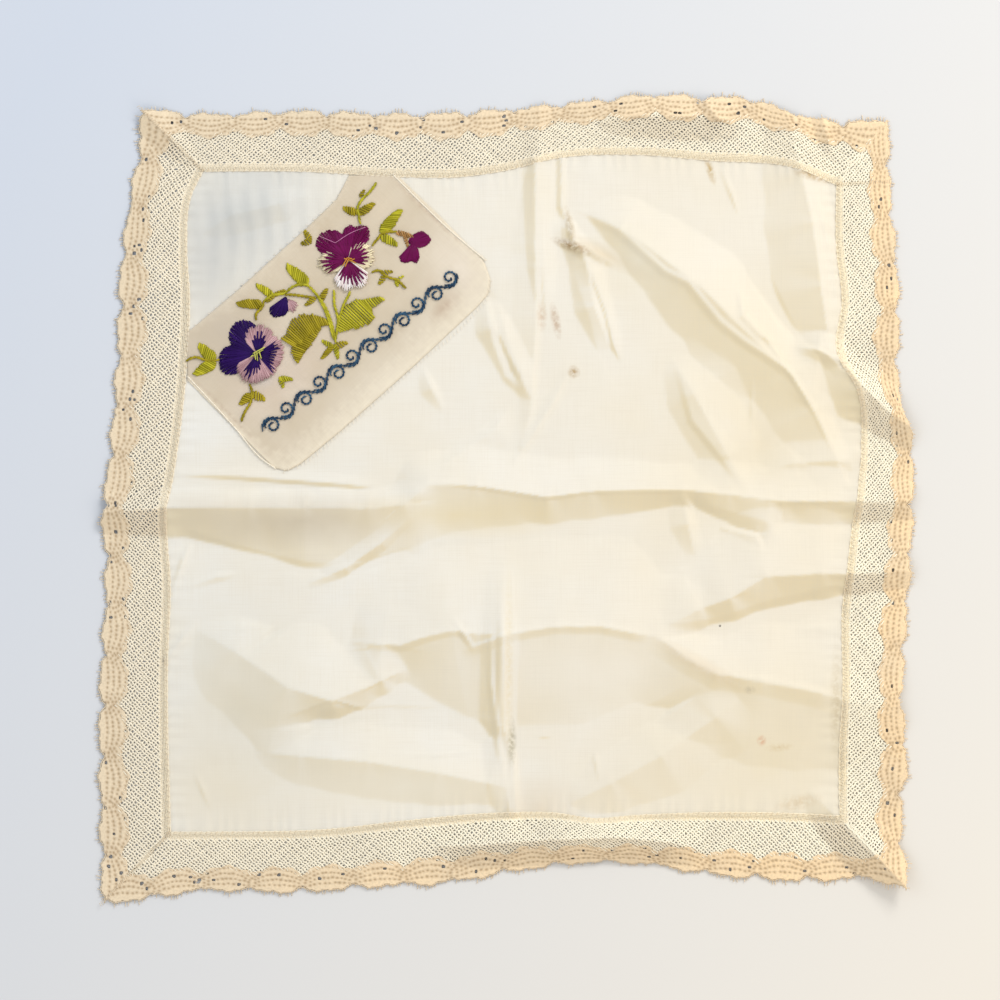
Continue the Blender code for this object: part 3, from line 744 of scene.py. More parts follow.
# %% Panel cloth
PANEL_LOW = [(-115.5, 43.0), (-89.0, 16.0), (-84.0, 11.2), (-79.5, 10.0), (-75.0, 12.2),
             (-60.0, 24.5), (-33.0, 48.5), (-10.5, 69.5), (-6.2, 74.5), (-5.6, 79.5),
             (-8.0, 86.0), (-24.0, 102.5), (-39.5, 117.4)]
PANEL_HIGH = [(-115.8, 60.0), (-98.0, 75.0), (-72.0, 98.5), (-61.5, 108.5), (-57.0, 117.2)]
PANEL_GRID = (150, 70)
PANEL_RAISED = 0.46      # over the fold surface
PANEL_STAINS_AND_PAINTED_SHADOWS = [
    # the same columns as for the ground
    (-84, 46, 26, 20, 0.7, 0.50, (0.80, 0.66, 0.60)),
    (-42, 42, 60, 16, 0.70, 0.85, (0.88, 0.81, 0.68)),
    (-102, 60, 26, 20, 0.7, 0.75, (0.62, 0.54, 0.44)),
    (-64, 111, 8, 5, 0.6, 0.60, (0.62, 0.50, 0.34)),
    (-88, 44, 6, 5, 0.6, 0.45, (0.62, 0.62, 0.64)),
    (-22, 70, 9, 4, 0.9, 0.80, (0.54, 0.40, 0.28)),
    (-40, 60, 8, 3, 0.8, 0.50, (0.62, 0.52, 0.38)),
    (-27, 77, 3, 6, 0.2, 0.55, (0.66, 0.52, 0.38)),
    (-92, 62, 20, 4, 0.8, 0.50, (0.62, 0.50, 0.36)),
    (-46, 106, 18, 12, -0.6, 0.30, (0.84, 0.72, 0.54)),
    (-16, 84, 26, 17, -0.7, 0.95, (0.92, 0.84, 0.72)),
    # painted shadow: thin tan lines inside the two corded seams
    (-25.2, 101.0, 25, 1.3, -0.747, 0.9, (0.60, 0.46, 0.34)),
    (-98.6, 28.6, 24, 1.2, -0.808, 0.9, (0.60, 0.48, 0.36)),
    (-60, 66, 22, 12, 0.7, 0.30, (0.66, 0.56, 0.46)),
]


def measured(points):
    """A line's points as rows, and how far along it each one lies."""
    points = np.array(points, dtype=float)
    steps = np.linalg.norm(np.diff(points, axis=0), axis=1)
    return points, np.concatenate([[0.0], np.cumsum(steps)])


def along_line(points, shares):
    """Places at shares of the length of a line of straight stretches."""
    points, reach = measured(points)
    reach = reach / reach[-1]
    return np.interp(shares, reach, points[:, 0]), np.interp(shares, reach, points[:, 1])


# %% [markdown]
# The organdie is mottled, and its turned edges show as paler bands. The bands follow the panel's own
# UV map, which runs from 0 to 1 across it, and noise makes them ragged.

# %% The panel's material
def panel_material():
    """Tan organdie: mottled, paler along its lower edge, pinkish by the flowers, painted shadow by its
    cords.
    """
    material, tree, output = start_material("panel_organdie")
    mottled = noise_node(tree, (0, 0), (18, 18), 3.0, 0.3, 0.7)
    colour = tint_node(tree, mottled, (0.68, 0.58, 0.43), (0.78, 0.69, 0.55))
    colour = add_stains_and_painted_light(tree, colour, PANEL_STAINS_AND_PAINTED_SHADOWS)
    across = tree.nodes.new("ShaderNodeSeparateXYZ")
    cloth_map = tree.nodes.new("ShaderNodeUVMap")
    cloth_map.uv_map = "cloth"
    tree.links.new(cloth_map.outputs["UV"], across.inputs[0])
    ragged = noise_node(tree, (2, 2), (2.6, 2.6), 3.0, 0.0, 1.0)
    for side, width, tint, strength in ((0.0, 0.24, (0.93, 0.85, 0.69), 0.85),
                                        (1.0, 0.18, (0.86, 0.78, 0.64), 0.50)):
        band = tree.nodes.new("ShaderNodeMapRange")
        band.inputs["From Min"].default_value = abs(side - width)
        band.inputs["From Max"].default_value = abs(side - width * 0.35)
        edge = tree.nodes.new("ShaderNodeMath")
        edge.operation = "MULTIPLY_ADD"
        edge.inputs[1].default_value = 0.20 * (1 - 2 * side)
        tree.links.new(ragged, edge.inputs[0])
        tree.links.new(across.outputs["Y"], edge.inputs[2])
        tree.links.new(edge.outputs[0], band.inputs["Value"])
        colour = tint_node(tree, band.outputs["Result"], colour, tint, strength)
    for reach in ((0.3, 9.0), (9.0, 0.3)):
        streak = noise_node(tree, (5, 1), reach, 1.0, 0.4, 0.7, math.pi / 4)
        colour = tint_node(tree, streak, colour, (0.64, 0.54, 0.40), 0.16)
    sheer_surface(tree, output, colour, weave_bump(tree, 0.30, 0.6), 0.20)
    return material


# %% [markdown]
# A line of places for the lower side and one for the upper side give the panel its outline, and
# each row of the grid runs between them.

# %% Lay the panel
mesh, u, v = flat_grid("panel_cloth", *PANEL_GRID)
low_x, low_y = along_line(PANEL_LOW, u)
high_x, high_y = along_line(PANEL_HIGH, u)
x = low_x + (high_x - low_x) * v
y = low_y + (high_y - low_y) * v
set_places(mesh, x, y, lift(x, y) + PANEL_RAISED)
panel = finish_piece("panel_cloth", mesh, panel_material())
give_thickness(panel, 0.10)
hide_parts("panel")


# %% [markdown]
# ## Thread work
# Lace, cords and stitches are all thread. A thread is drawn as a curve with a round bevel, which
# gives a tube, and the tubes of one kind are turned into one mesh.


# %% Threads from curves
def over_cloth(x, y, raised):
    """Rows of x, y, z for a line that lies over the folds."""
    return np.column_stack([x, y, lift(x, y) + raised])


def threads(name, paths, radius, material, sides=0):
    """One piece made of many threads; each path is rows of x, y, z in millimetres."""
    curve = bpy.data.curves.new(name, "CURVE")
    curve.dimensions = "3D"
    curve.bevel_depth = radius * MM
    curve.bevel_resolution = sides
    curve.use_fill_caps = True
    for path in paths:
        spline = curve.splines.new("POLY")
        spline.points.add(len(path) - 1)
        rows = np.column_stack([np.asarray(path) * MM, np.ones(len(path))])
        spline.points.foreach_set("co", rows.ravel())
    drawn = add_object(name + "_line", curve)
    seen = drawn.evaluated_get(bpy.context.evaluated_depsgraph_get())
    mesh = bpy.data.meshes.new_from_object(seen)
    mesh.name = name
    bpy.data.objects.remove(drawn, do_unlink=True)
    bpy.data.curves.remove(curve)
    ring = len(mesh.vertices) // sum(len(path) + 2 for path in paths)
    tones = CHANCE.random(len(paths))
    caps = np.repeat(tones[::-1], 2 * ring)
    tubes = np.repeat(tones, [len(path) * ring for path in paths])
    store_mark(mesh, "strand", np.concatenate([caps, tubes]))
    closed = bmesh.new()
    closed.from_mesh(mesh)
    bmesh.ops.remove_doubles(closed, verts=closed.verts, dist=0.001 * MM)
    bmesh.ops.recalc_face_normals(closed, faces=closed.faces)
    closed.to_mesh(mesh)
    closed.free()
    return finish_piece(name, mesh, material)


def thread_material(name, left, right, fleck):
    """Spun thread whose colour drifts lighter from left to right as painted light, with soft patches and
    painted shade.
    """
    material, tree, output = start_material(name)
    # painted light: lighter towards the window side at the right
    tone = tint_node(tree, drift_node(tree, (-110, 0), (220, 220), -0.35), left, right)
    patch = noise_node(tree, (0, 0), (16, 16), 3.0, 0.35, 0.7)
    tone = tint_node(tree, patch, tone, tuple(c * 0.88 for c in left), 0.45)
    # painted shade: tan where a slope turns away from the window
    tone = tint_node(tree, mark_node(tree, "painted_slope_shade"), tone, (0.66, 0.52, 0.34), 0.45)
    speck = noise_node(tree, (0, 0), (0.8, 0.8), 2.0, 0.4, 0.7)
    tone = tint_node(tree, speck, tone, tuple(c * 0.66 for c in left), fleck)
    tone = tint_node(tree, mark_node(tree, "strand"), tone, tuple(c * 0.84 for c in left), 0.35)
    # painted shade: brown in the lace's pin holes
    tone = tint_node(tree, mark_node(tree, "pin_dimple_and_painted_shade"), tone, (0.30, 0.19, 0.09), 0.85)
    surface(tree, output, tone, 0.75, 0.3, 0.3)
    return material


# %% [markdown]
# ## The lace
# The edging is a cotton bobbin lace about 25 mm wide. Seen from the seam outwards it has a firm
# footing of a few cords, an open net of slanting threads, and a dense cloth-stitch border with rows
# of small holes that follow its shallow scallops, ending in tiny picot loops. Each kind of thread is
# one function here, drawn in the strip's own coordinates: along it, and out from the seam.

# %% Sizes of the lace
LACE_WIDTH = 25.0
SCALLOPS = 16
SCALLOP_DEPTH = 2.2
NET_FROM, NET_PITCH, NET_SLANT = 2.3, 1.55, 0.95
BORDER_FROM = 14.6       # where the dense border starts, out from the seam
LACE_RAISED = 0.35
BORDER_RAISED = 0.24     # over the net
OPEN_HOLES = 0.05        # share of the pin holes that are open
THICK = {"net": 0.34, "cross": 0.32, "footing": 0.31, "rim": 0.22, "picots": 0.13}   # radii
CORNERS = {"tl": ((-110, 119), (-133, 142)), "tr": ((120, 114), (139, 138)),
           "bl": ((-122, -121), (-147, -147)), "br": ((121, -115), (146, -142))}
ENDS = {"top": ("tl", "tr"), "bottom": ("bl", "br"), "left": ("bl", "tl"), "right": ("br", "tr")}


# %% [markdown]
# A place along the strip and a place out from the seam become x and y. In this way one drawing
# bends round all four wavy sides, and it stops at the corner lines where two lengths meet.

# %% Where lace lies
def strip_range(name):
    """The first and last place of a side's lace, along its outer edge."""
    axis = RUNS_ALONG[name]
    ends = sorted((EDGE[name][0][axis], EDGE[name][-1][axis]))
    return float(ends[0]), float(ends[1])


def on_strip(name, along, out):
    """Places x, y of lace from its distance along the side and out from the seam."""
    axis = RUNS_ALONG[name]
    seam = side_line(SEAM[name], along, axis)
    edge = side_line(EDGE[name], along, axis)
    across = seam + (edge - seam) * np.asarray(out) / LACE_WIDTH
    return (along, across) if axis == 0 else (across, along)


def past_mitre(name, x, y):
    """How far places lie past the corner lines where this side's lace stops; negative is inside."""
    worst = np.full(np.shape(x), -np.inf)
    for end, corner in zip((-1.0, 1.0), ENDS[name]):
        (ax, ay), (bx, by) = CORNERS[corner]
        length = math.hypot(bx - ax, by - ay)
        side = ((bx - ax) * (y - ay) - (by - ay) * (x - ax)) / length
        far_x, far_y = (1e3 * end, ay) if RUNS_ALONG[name] == 0 else (ax, 1e3 * end)
        outside = ((bx - ax) * (far_y - ay) - (by - ay) * (far_x - ax)) / length
        worst = np.maximum(worst, side * math.copysign(1.0, outside))
    return worst


def scalloped(name, along):
    """How far out the lace reaches: full at a scallop's middle, less at its notches."""
    start, stop = strip_range(name)
    phase = (along - start) / (stop - start) * SCALLOPS
    uneven = 0.35 * np.sin(along * 0.61) + 0.25 * np.sin(along * 1.37 + 1.0)
    return LACE_WIDTH - 0.3 + uneven - SCALLOP_DEPTH * (1.0 - np.abs(np.sin(math.pi * phase)) ** 0.6)


def lace_path(name, along, out, rise=0.0):
    """A thread of the lace as x, y, z rows, cut off where it leaves the strip."""
    x, y = on_strip(name, along, out)
    keep = past_mitre(name, x, y) < 0.8
    if keep.sum() < 2:
        return None
    first, last = np.flatnonzero(keep)[[0, -1]]
    x, y = x[first:last + 1], y[first:last + 1]
    rise = np.broadcast_to(rise, keep.shape)[first:last + 1]
    return over_cloth(x, y, LACE_RAISED + rise)


# %% [markdown]
# Bobbin net is two families of slanting threads. Each thread starts a little off its even place
# and is pulled to and fro, which gives small uneven meshes instead of a printed grid.

# %% The net, its footing and its rim
def net_threads(name, way):
    """Slanting threads of one family of the net, from the footing to the dense border."""
    start, stop = strip_range(name)
    paths = []
    slant = LACE_WIDTH * NET_SLANT
    count = int((stop - start + slant) / NET_PITCH)
    steps = np.linspace(0.0, 1.0, 30)
    for k in range(count):
        foot = start - (slant if way > 0 else 0) + k * NET_PITCH + CHANCE.uniform(-0.22, 0.22)
        out = NET_FROM + steps * (LACE_WIDTH - 1.0 - NET_FROM)
        pull = 0.34 * np.sin(out * 3.3 + k * math.pi + CHANCE.uniform(-0.5, 0.5))
        along = foot + way * NET_SLANT * (out - NET_FROM) + pull
        inside = out < np.minimum(scalloped(name, along) - 0.6, border_inside(name, along) + 2.2)
        if inside.sum() < 2:
            continue
        rise = 0.10 * way + 0.08 * np.sin(out[inside] * 1.7 + k)
        path = lace_path(name, along[inside], out[inside], rise)
        if path is not None:
            paths.append(path)
    return paths


def footing_threads(name):
    """Firm cords side by side along the seam, and the zigzag that joins them."""
    start, stop = strip_range(name)
    along = np.arange(start, stop, 1.3)
    fine = np.arange(start, stop, 0.5)
    zigzag = 1.0 + 0.75 * np.where(np.arange(len(fine)) % 2 == 0, 1.0, -1.0)
    lines = [(fine, zigzag, 0.12)]
    for out in (-0.2, 0.35, 0.9, 1.45, 2.0, 2.6):
        lines.append((along, out + 0.10 * np.sin(along * 2.1 + out * 9), 0.0))
    return [path for path in (lace_path(name, *line) for line in lines) if path is not None]


def rim_threads(name):
    """The scalloped rim and a thread inside it."""
    start, stop = strip_range(name)
    along = np.arange(start, stop, 0.7)
    reach = scalloped(name, along)
    return [lace_path(name, along, reach - 0.25, 0.1), lace_path(name, along, reach - 1.1, 0.1)]


def picot_threads(name):
    """The picots: tiny loops worn to short loose ends, in tufts at the scallops' crowns."""
    start, stop = strip_range(name)
    paths = []
    along = start
    while along < stop:
        along += CHANCE.uniform(0.7, 1.7)
        crown = abs(math.sin(math.pi * (along - start) / (stop - start) * SCALLOPS))
        long = CHANCE.uniform(0.4, 1.1) + (0.8 * crown if CHANCE.random() < 0.45 else 0.0)
        out = float(scalloped(name, np.array([along]))[0]) - 0.3 + np.linspace(0.0, long + 0.3, 4)
        lean = along + CHANCE.uniform(-0.45, 0.45) * np.linspace(0.0, 1.0, 4) ** 2
        path = lace_path(name, lean, out, -0.25)
        if path is not None:
            paths.append(path)
    return paths


# %% [markdown]
# Cloth stitch is woven too finely to draw thread by thread, so the border is a fine grid cut to its
# scallops. Each pin hole dimples the grid and has brown shade painted on it, and a few are cut right
# through.

# %% The cloth-stitch border
ARCS = [(9.9, 4.4, 1.45), (7.6, 3.2, 1.5), (5.4, 2.0, 1.6), (3.2, 0.9, 1.8)]   # in, rise, step


def border_inside(name, along):
    """The border's inner side, an arch for each scallop."""
    start, stop = strip_range(name)
    phase = (along - start) / (stop - start) * SCALLOPS
    arch = 1.0 - np.abs(np.sin(math.pi * phase)) ** 0.8
    return BORDER_FROM - 0.9 + 3.0 * arch + 0.5 * np.sin(along * 0.83)


def border_holes(name):
    """Centres of the pin holes: arcs that follow each scallop, and a few at each notch."""
    start, stop = strip_range(name)
    pitch = (stop - start) / SCALLOPS
    holes = []
    for k in range(SCALLOPS):
        middle = start + (k + 0.5) * pitch
        for inward, rise, step in ARCS:
            for place in np.arange(-0.46 * pitch, 0.46 * pitch, step) + CHANCE.uniform(0, 0.6):
                bend = rise * (2.0 * place / pitch) ** 2
                holes.append((middle + place + CHANCE.uniform(-0.2, 0.2),
                              LACE_WIDTH - 0.3 - inward + bend + CHANCE.uniform(-0.2, 0.2)))
        for step, inward in ((0.0, 7.6), (-1.3, 8.8), (1.3, 8.8), (0.0, 6.0), (0.0, 10.4)):
            holes.append((middle - pitch / 2 + step, LACE_WIDTH - inward))
    return holes


def lace_border(name, material):
    """The dense border: a fine grid, dimpled with painted shade at its pin holes, some of them open."""
    start, stop = strip_range(name)
    cell = 0.40
    reach = LACE_WIDTH + 1.0 - BORDER_FROM + 2.0
    columns, rows = int((stop - start) / cell), int(reach / cell)
    mesh, u, v = flat_grid(name + "_border", columns, rows)
    along = start + u * (stop - start)
    out = BORDER_FROM - 2.0 + v * reach
    kept = (out < scalloped(name, along) - 0.1) & (out > border_inside(name, along))
    # dimple depth at the pin holes, also used as painted shade in the colour
    pin_dimple_and_painted_shade = np.zeros(len(along))
    for hole_along, hole_out in border_holes(name):
        near = np.flatnonzero(np.abs(along - hole_along) < 1.4)
        away = np.hypot((along[near] - hole_along) / 1.25, out[near] - hole_out)
        size = CHANCE.uniform(0.38, 0.58)
        pin_dimple_and_painted_shade[near] = np.maximum(pin_dimple_and_painted_shade[near], np.exp(-(away / size) ** 2))
        if CHANCE.random() < OPEN_HOLES:
            kept[near[away < 0.30]] = False
    x, y = on_strip(name, along, out)
    kept &= past_mitre(name, x, y) < 0.8
    ribs = 0.07 * np.sin(out * 6.0 + 0.9 * np.sin(along * 1.1) + 0.05 * along**2)
    set_places(mesh, x, y, lift(x, y) + LACE_RAISED + BORDER_RAISED + ribs - 0.22 * pin_dimple_and_painted_shade)
    store_mark(mesh, "pin_dimple_and_painted_shade", pin_dimple_and_painted_shade)
    trimmed = bmesh.new()
    trimmed.from_mesh(mesh)
    trimmed.verts.ensure_lookup_table()
    spare = [trimmed.verts[k] for k in np.flatnonzero(~kept)]
    bmesh.ops.delete(trimmed, geom=spare, context="VERTS")
    bmesh.ops.smooth_vert(trimmed, verts=trimmed.verts, factor=0.5, use_axis_x=True,
                          use_axis_y=True, use_axis_z=False)
    if name in ("bottom", "right"):      # these two run the other way round
        bmesh.ops.reverse_faces(trimmed, faces=trimmed.faces)
    trimmed.to_mesh(mesh)
    trimmed.free()
    piece = finish_piece("lace_" + name + "_border", mesh, material)
    give_thickness(piece, 0.18)
    return piece


# %% [markdown]
# The four lengths are made alike. The net stands for the solid and carries the other parts. The
# area that is declared counts thread and not holes, and was set from the model itself.

# %% Make the four lengths
LACE_THREAD = thread_material("lace_thread", (0.87, 0.79, 0.63), (1.0, 0.94, 0.75), 0.1)
LACE_DENSE = thread_material("lace_cloth_stitch", (0.75, 0.62, 0.44), (0.92, 0.68, 0.40), 0.4)
SEWING = thread_material("sewing_thread", (0.86, 0.77, 0.60), (0.96, 0.84, 0.60), 0.3)

for name in ("top", "right", "bottom", "left"):
    net = threads("lace_" + name + "_net", net_threads(name, -1.0), THICK["net"], LACE_THREAD)
    cross = threads("lace_" + name + "_cross", net_threads(name, 1.0), THICK["cross"], LACE_THREAD)
    firm = threads("lace_" + name + "_footing", footing_threads(name), THICK["footing"], SEWING)
    rim = threads("lace_" + name + "_rim", rim_threads(name), THICK["rim"], LACE_DENSE)
    picots = threads("lace_" + name + "_picots", picot_threads(name), THICK["picots"], LACE_DENSE)
    border = lace_border(name, LACE_DENSE)
    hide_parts("lace_" + name)
    for part in (cross, firm, rim, picots, border):
        part.parent = net


# %% [markdown]
# ## Stitching
# A row of running or whip stitches is a row of short bent threads along a line. The panel's two long
# seams are corded: a thin cord is caught under the fold of the cloth and shows as a pale ridge.


# %% Lines of stitches
def smooth_line(points, spacing):
    """Evenly spaced places on a rounded line through a few points."""
    points, reach = measured(points)
    shares = np.linspace(0.0, reach[-1], max(int(reach[-1] / spacing), 2) + 1)
    line = np.empty((len(shares), 2))
    for axis in (0, 1):
        slope = np.gradient(points[:, axis], reach)
        k = np.clip(np.searchsorted(reach, shares, side="right") - 1, 0, len(reach) - 2)
        span = reach[k + 1] - reach[k]
        line[:, axis] = curve_between((shares - reach[k]) / span, span, points[k, axis],
                                      points[k + 1, axis], slope[k], slope[k + 1])
    return line


def cord_path(points, raised):
    """A cord that lies on the cloth along a line."""
    return over_cloth(*smooth_line(points, 0.8).T, raised)


def stitch(start, stop, raised, arch):
    """One stitch: in at start, over, and out at stop."""
    shares = np.array([0.0, 0.12, 0.5, 0.88, 1.0])
    x = start[0] + (stop[0] - start[0]) * shares
    y = start[1] + (stop[1] - start[1]) * shares
    hump = arch * np.array([0.0, 0.75, 1.0, 0.75, 0.0])
    return over_cloth(x, y, raised + hump)


def stem_stitches(points, raised, length=2.3, width=0.55):
    """A rope-like line: long stitches that overlap by half, each a little across the line."""
    line = smooth_line(points, length / 8)
    way = np.gradient(line, axis=0)
    way /= np.maximum(np.linalg.norm(way, axis=1, keepdims=True), 1e-9)
    paths = []
    for first in range(0, max(len(line) - 4, 1), 5):
        last = min(first + 8, len(line) - 1)
        lean = np.linspace(-width / 2, width / 2, last - first + 1)
        part, out = line[first:last + 1], way[first:last + 1]
        x, y = part[:, 0] - out[:, 1] * lean, part[:, 1] + out[:, 0] * lean
        hump = 0.22 * np.sin(np.linspace(0, math.pi, len(x)))
        paths.append(over_cloth(x, y, raised + hump))
    return paths


def stitch_row(points, gap, reach, slant, raised):
    """Short stitches across a line, each a little uneven."""
    line = smooth_line(points, gap)
    way = np.gradient(line, axis=0)
    paths = []
    for (x, y), (way_x, way_y) in zip(line, way):
        size = math.hypot(way_x, way_y)
        across = (-way_y / size + slant * way_x / size, way_x / size + slant * way_y / size)
        half = reach * CHANCE.uniform(0.6, 1.2) / 2
        paths.append(stitch((x - across[0] * half, y - across[1] * half),
                            (x + across[0] * half, y + across[1] * half), raised, 0.2))
    return paths


# %% Sew the panel down
PANEL_SEAMS = {
    "upper right": [(-41.0, 117.5), (-31.5, 108.0), (-20.0, 97.0), (-7.5, 86.5)],
    "lower left": [(-115.5, 44.5), (-108.0, 36.5), (-98.0, 25.5), (-88.5, 14.5), (-83.5, 11.0)],
}
WHIPPED = [(-5.6, 79.0), (-6.6, 73.5), (-12.0, 66.5), (-34.0, 47.0), (-60.0, 24.0), (-75.5, 11.8),
           (-80.5, 10.0)]
RAGGED = [(-57.0, 115.5), (-62.0, 108.5), (-73.0, 98.5), (-97.5, 76.0), (-115.0, 61.0)]
PULLED = [[(-48.5, 65.2), (-43.0, 55.0), (-34.8, 46.0)], [(-79.0, 41.5), (-71.0, 36.0)]]
SEW = PANEL_RAISED + 0.12
STITCH_THICK = 0.09      # radius of the sewing thread
PANEL_THREAD = thread_material("panel_thread", (0.86, 0.78, 0.64), (0.94, 0.85, 0.70), 0.2)

cords = [cord_path(line, SEW) for line in PANEL_SEAMS.values()]
panel_cords = threads("panel_cords", cords, 0.25, PANEL_THREAD, 1)
whips = stitch_row(WHIPPED, 1.7, 1.3, 0.5, SEW - 0.06)
for line in PANEL_SEAMS.values():
    whips += stitch_row(line, 2.2, 1.2, 0.6, SEW + 0.1)
whips += stitch_row(RAGGED, 3.1, 0.7, -0.7, SEW - 0.1)
panel_whips = threads("panel_whip_stitches", whips, STITCH_THICK, PANEL_THREAD)
pulls = [cord_path(line, SEW - 0.1) for line in PULLED]
pulled_threads = threads("panel_pulled_threads", pulls, 0.10, PANEL_THREAD)
for part in (panel_cords, panel_whips, pulled_threads):
    part.parent = panel

# %% [markdown]
# The lace is whipped to the ground all round. Two corners are mitred with small stitches, and at
# the upper right the seam runs straight across.

# %% Sew the lace on
SEAM_RAISED, MITRE_RAISED = 0.66, 0.72
seam_stitches = []
for side in SEAM.values():
    seam_stitches += stitch_row(side, 1.9, 1.0, 0.6, SEAM_RAISED)
for inner, outer in (CORNERS["tl"], CORNERS["bl"], ((120, 114), (139, 115))):
    seam_stitches += stitch_row([inner, outer], 0.8, 1.5, 0.3, MITRE_RAISED)
SEAM_THREAD = thread_material("seam_thread", (0.72, 0.59, 0.41), (0.82, 0.66, 0.43), 0.3)
lace_seams = threads("lace_seam_stitches", seam_stitches, STITCH_THICK, SEAM_THREAD)
lace_seams.parent = ground

# %% [markdown]
# ## The flowers
# The embroidery is worked by hand in untwisted silk. Petals and leaves are satin stitch: long
# threads laid side by side, so a petal is a fan of threads from its throat, and a leaf is threads
# that slant across from its midrib. The dark rays of the pansies are worked over the pale petals.

# %% Silk
FLOSS = {
    "magenta": (0.120, 0.002, 0.048), "indigo": (0.014, 0.001, 0.060), "pink": (0.40, 0.22, 0.24),
    "cream": (0.62, 0.49, 0.34), "white": (0.80, 0.66, 0.62), "olive": (0.25, 0.20, 0.010),
    "green": (0.31, 0.285, 0.016), "gold": (0.42, 0.19, 0.025), "lime": (0.40, 0.40, 0.08),
    "blue": (0.010, 0.030, 0.072), "rust": (0.28, 0.15, 0.05),
}


def silk(name, colour, light=None):
    """Untwisted silk: deep colour, a little different from thread to thread, with a painted gleam."""
    material, tree, output = start_material("floss_" + name)
    grain = noise_node(tree, (0, 0), (0.7, 0.7), 2.0, 0.3, 0.7)
    tone = tint_node(tree, grain, tuple(c * 0.85 for c in colour), tuple(c * 1.12 for c in colour))
    # painted gleam: each thread is lightened towards a lit tone by its strand share
    light = light or tuple(min(1.0, c * 1.9 + 0.005) for c in colour)
    tone = tint_node(tree, mark_node(tree, "strand"), tone, light, 0.9)
    deep = noise_node(tree, (9, 4), (5, 5), 2.0, 0.35, 0.65)
    tone = tint_node(tree, deep, tone, tuple(c * 0.5 for c in colour), 0.35)
    surface(tree, output, tone, 0.42, 0.12)
    return material


sewn = {name: [] for name in FLOSS}       # paths of each colour


# %% [markdown]
# A fan is given by its throat, the angles where it starts and stops, and how far it reaches at even
# steps between them. Rays are a fan too, whose threads bunch into a number of pointed spikes.

# %% Fans of thread
ON_PANEL = PANEL_RAISED + 0.20
LAYER = 0.20             # each layer of thread lies this much higher


def fan(floss, throat, start, stop, reaches, level, uneven=0.04, spikes=0, spacing=0.40):
    """Threads from a throat outwards, side by side at their outer ends."""
    longest = max(reaches)
    count = int(abs(math.radians(stop - start)) * longest / spacing)
    marks = np.linspace(0, 1, len(reaches))
    for k in range(count + 1):
        share = k / count
        angle = math.radians(start + (stop - start) * share) + CHANCE.uniform(-0.015, 0.015)
        reach = float(np.interp(share, marks, reaches)) * (1 - CHANCE.uniform(0, uneven))
        if spikes:
            reach *= 0.42 + 0.58 * abs(math.cos(math.pi * share * spikes))
        near = CHANCE.uniform(0.4, 2.0)
        ends = [(throat[0] + r * math.cos(angle), throat[1] + r * math.sin(angle))
                for r in (near, reach)]
        sewn[floss].append(stitch(*ends, ON_PANEL + LAYER * level, 0.10 + 0.025 * reach))


FACE_UP = (-57.2, 86.4)      # throat of the magenta pansy
FACE_DOWN = (-90.1, 52.5)    # throat of the violet pansy
FANS = [
    # floss, throat, first angle, last angle, reaches, level, unevenness, spikes
    ("magenta", FACE_UP, 165, 101, (10.4, 13.2, 14.3, 14.0, 13.1, 11.8, 9.6), 0, 0.04, 0),
    ("magenta", FACE_UP, 104, 46, (9.4, 11.8, 13.2, 12.4, 13.8, 14.3, 13.4, 11.0), 1, 0.04, 0),
    ("cream", FACE_UP, 76, -34, (5.6, 8.4, 9.8, 10.0, 9.8, 9.0, 6.8), 2, 0.16, 0),
    ("cream", FACE_UP, 153, 231, (7.6, 10.6, 12.3, 12.0, 10.2, 7.6, 5.0), 1, 0.18, 0),
    ("white", FACE_UP, 233, 327, (9.0, 10.6, 11.4, 10.6, 11.6, 11.2, 9.4), 3, 0.14, 0),
    ("magenta", FACE_UP, 70, -14, (6.4, 7.4, 8.4, 8.8, 8.8, 8.4, 7.2), 4, 0.12, 7),
    ("magenta", FACE_UP, 153, 213, (7.4, 9.0, 10.6, 10.6, 9.0), 4, 0.12, 6),
    ("magenta", FACE_UP, 240, 320, (6.8, 9.2, 8.8, 9.4, 10.8, 9.8, 8.8), 5, 0.10, 8),
    ("magenta", (-35.6, 92.6), 66, -20, (1.8, 4.6, 7.4, 8.0, 8.8, 7.2, 4.6), 0, 0.05, 0),
    ("magenta", (-33.8, 92.8), 228, 306, (7.4, 8.4, 7.6, 6.8, 7.7, 6.2, 3.2), 0, 0.05, 0),
    ("indigo", (-79.6, 73.4), 215, 280, (7.4, 8.9, 9.0, 7.8, 6.8, 4.8), 0, 0.05, 0),
    ("pink", (-79.2, 72.8), -30, -84, (4.6, 5.4, 5.9, 5.2), 0, 0.25, 0, 0.55),
    ("indigo", FACE_DOWN, 95, 163, (10.8, 12.6, 13.7, 14.1, 13.7, 13.0, 11.8, 9.8), 0, 0.04, 0),
    ("indigo", FACE_DOWN, 161, 223, (10.2, 12.3, 13.6, 14.2, 14.6, 14.7, 13.8, 10.6), 1, 0.04, 0),
    ("pink", FACE_DOWN, 133, 46, (6.6, 9.2, 10.2, 10.9, 10.9, 10.2, 9.0), 2, 0.12, 0),
    ("pink", FACE_DOWN, 50, -52, (9.2, 9.8, 10.3, 9.9, 9.4, 9.3, 9.8), 1, 0.12, 0),
    ("pink", FACE_DOWN, 207, 309, (8.8, 10.4, 11.5, 11.6, 10.4, 9.8, 10.0), 3, 0.12, 0),
    ("indigo", FACE_DOWN, 110, 57, (5.8, 7.8, 9.2, 8.6, 6.0), 4, 0.10, 5),
    ("indigo", FACE_DOWN, 34, -50, (8.4, 9.4, 7.4, 7.0, 7.4, 9.8), 4, 0.10, 9),
    ("indigo", FACE_DOWN, 232, 288, (8.8, 10.6, 8.4, 7.0, 4.4), 5, 0.10, 6),
]
for row in FANS:
    fan(*row)
print("fans sewn:", sum(len(paths) for paths in sewn.values()), "threads")

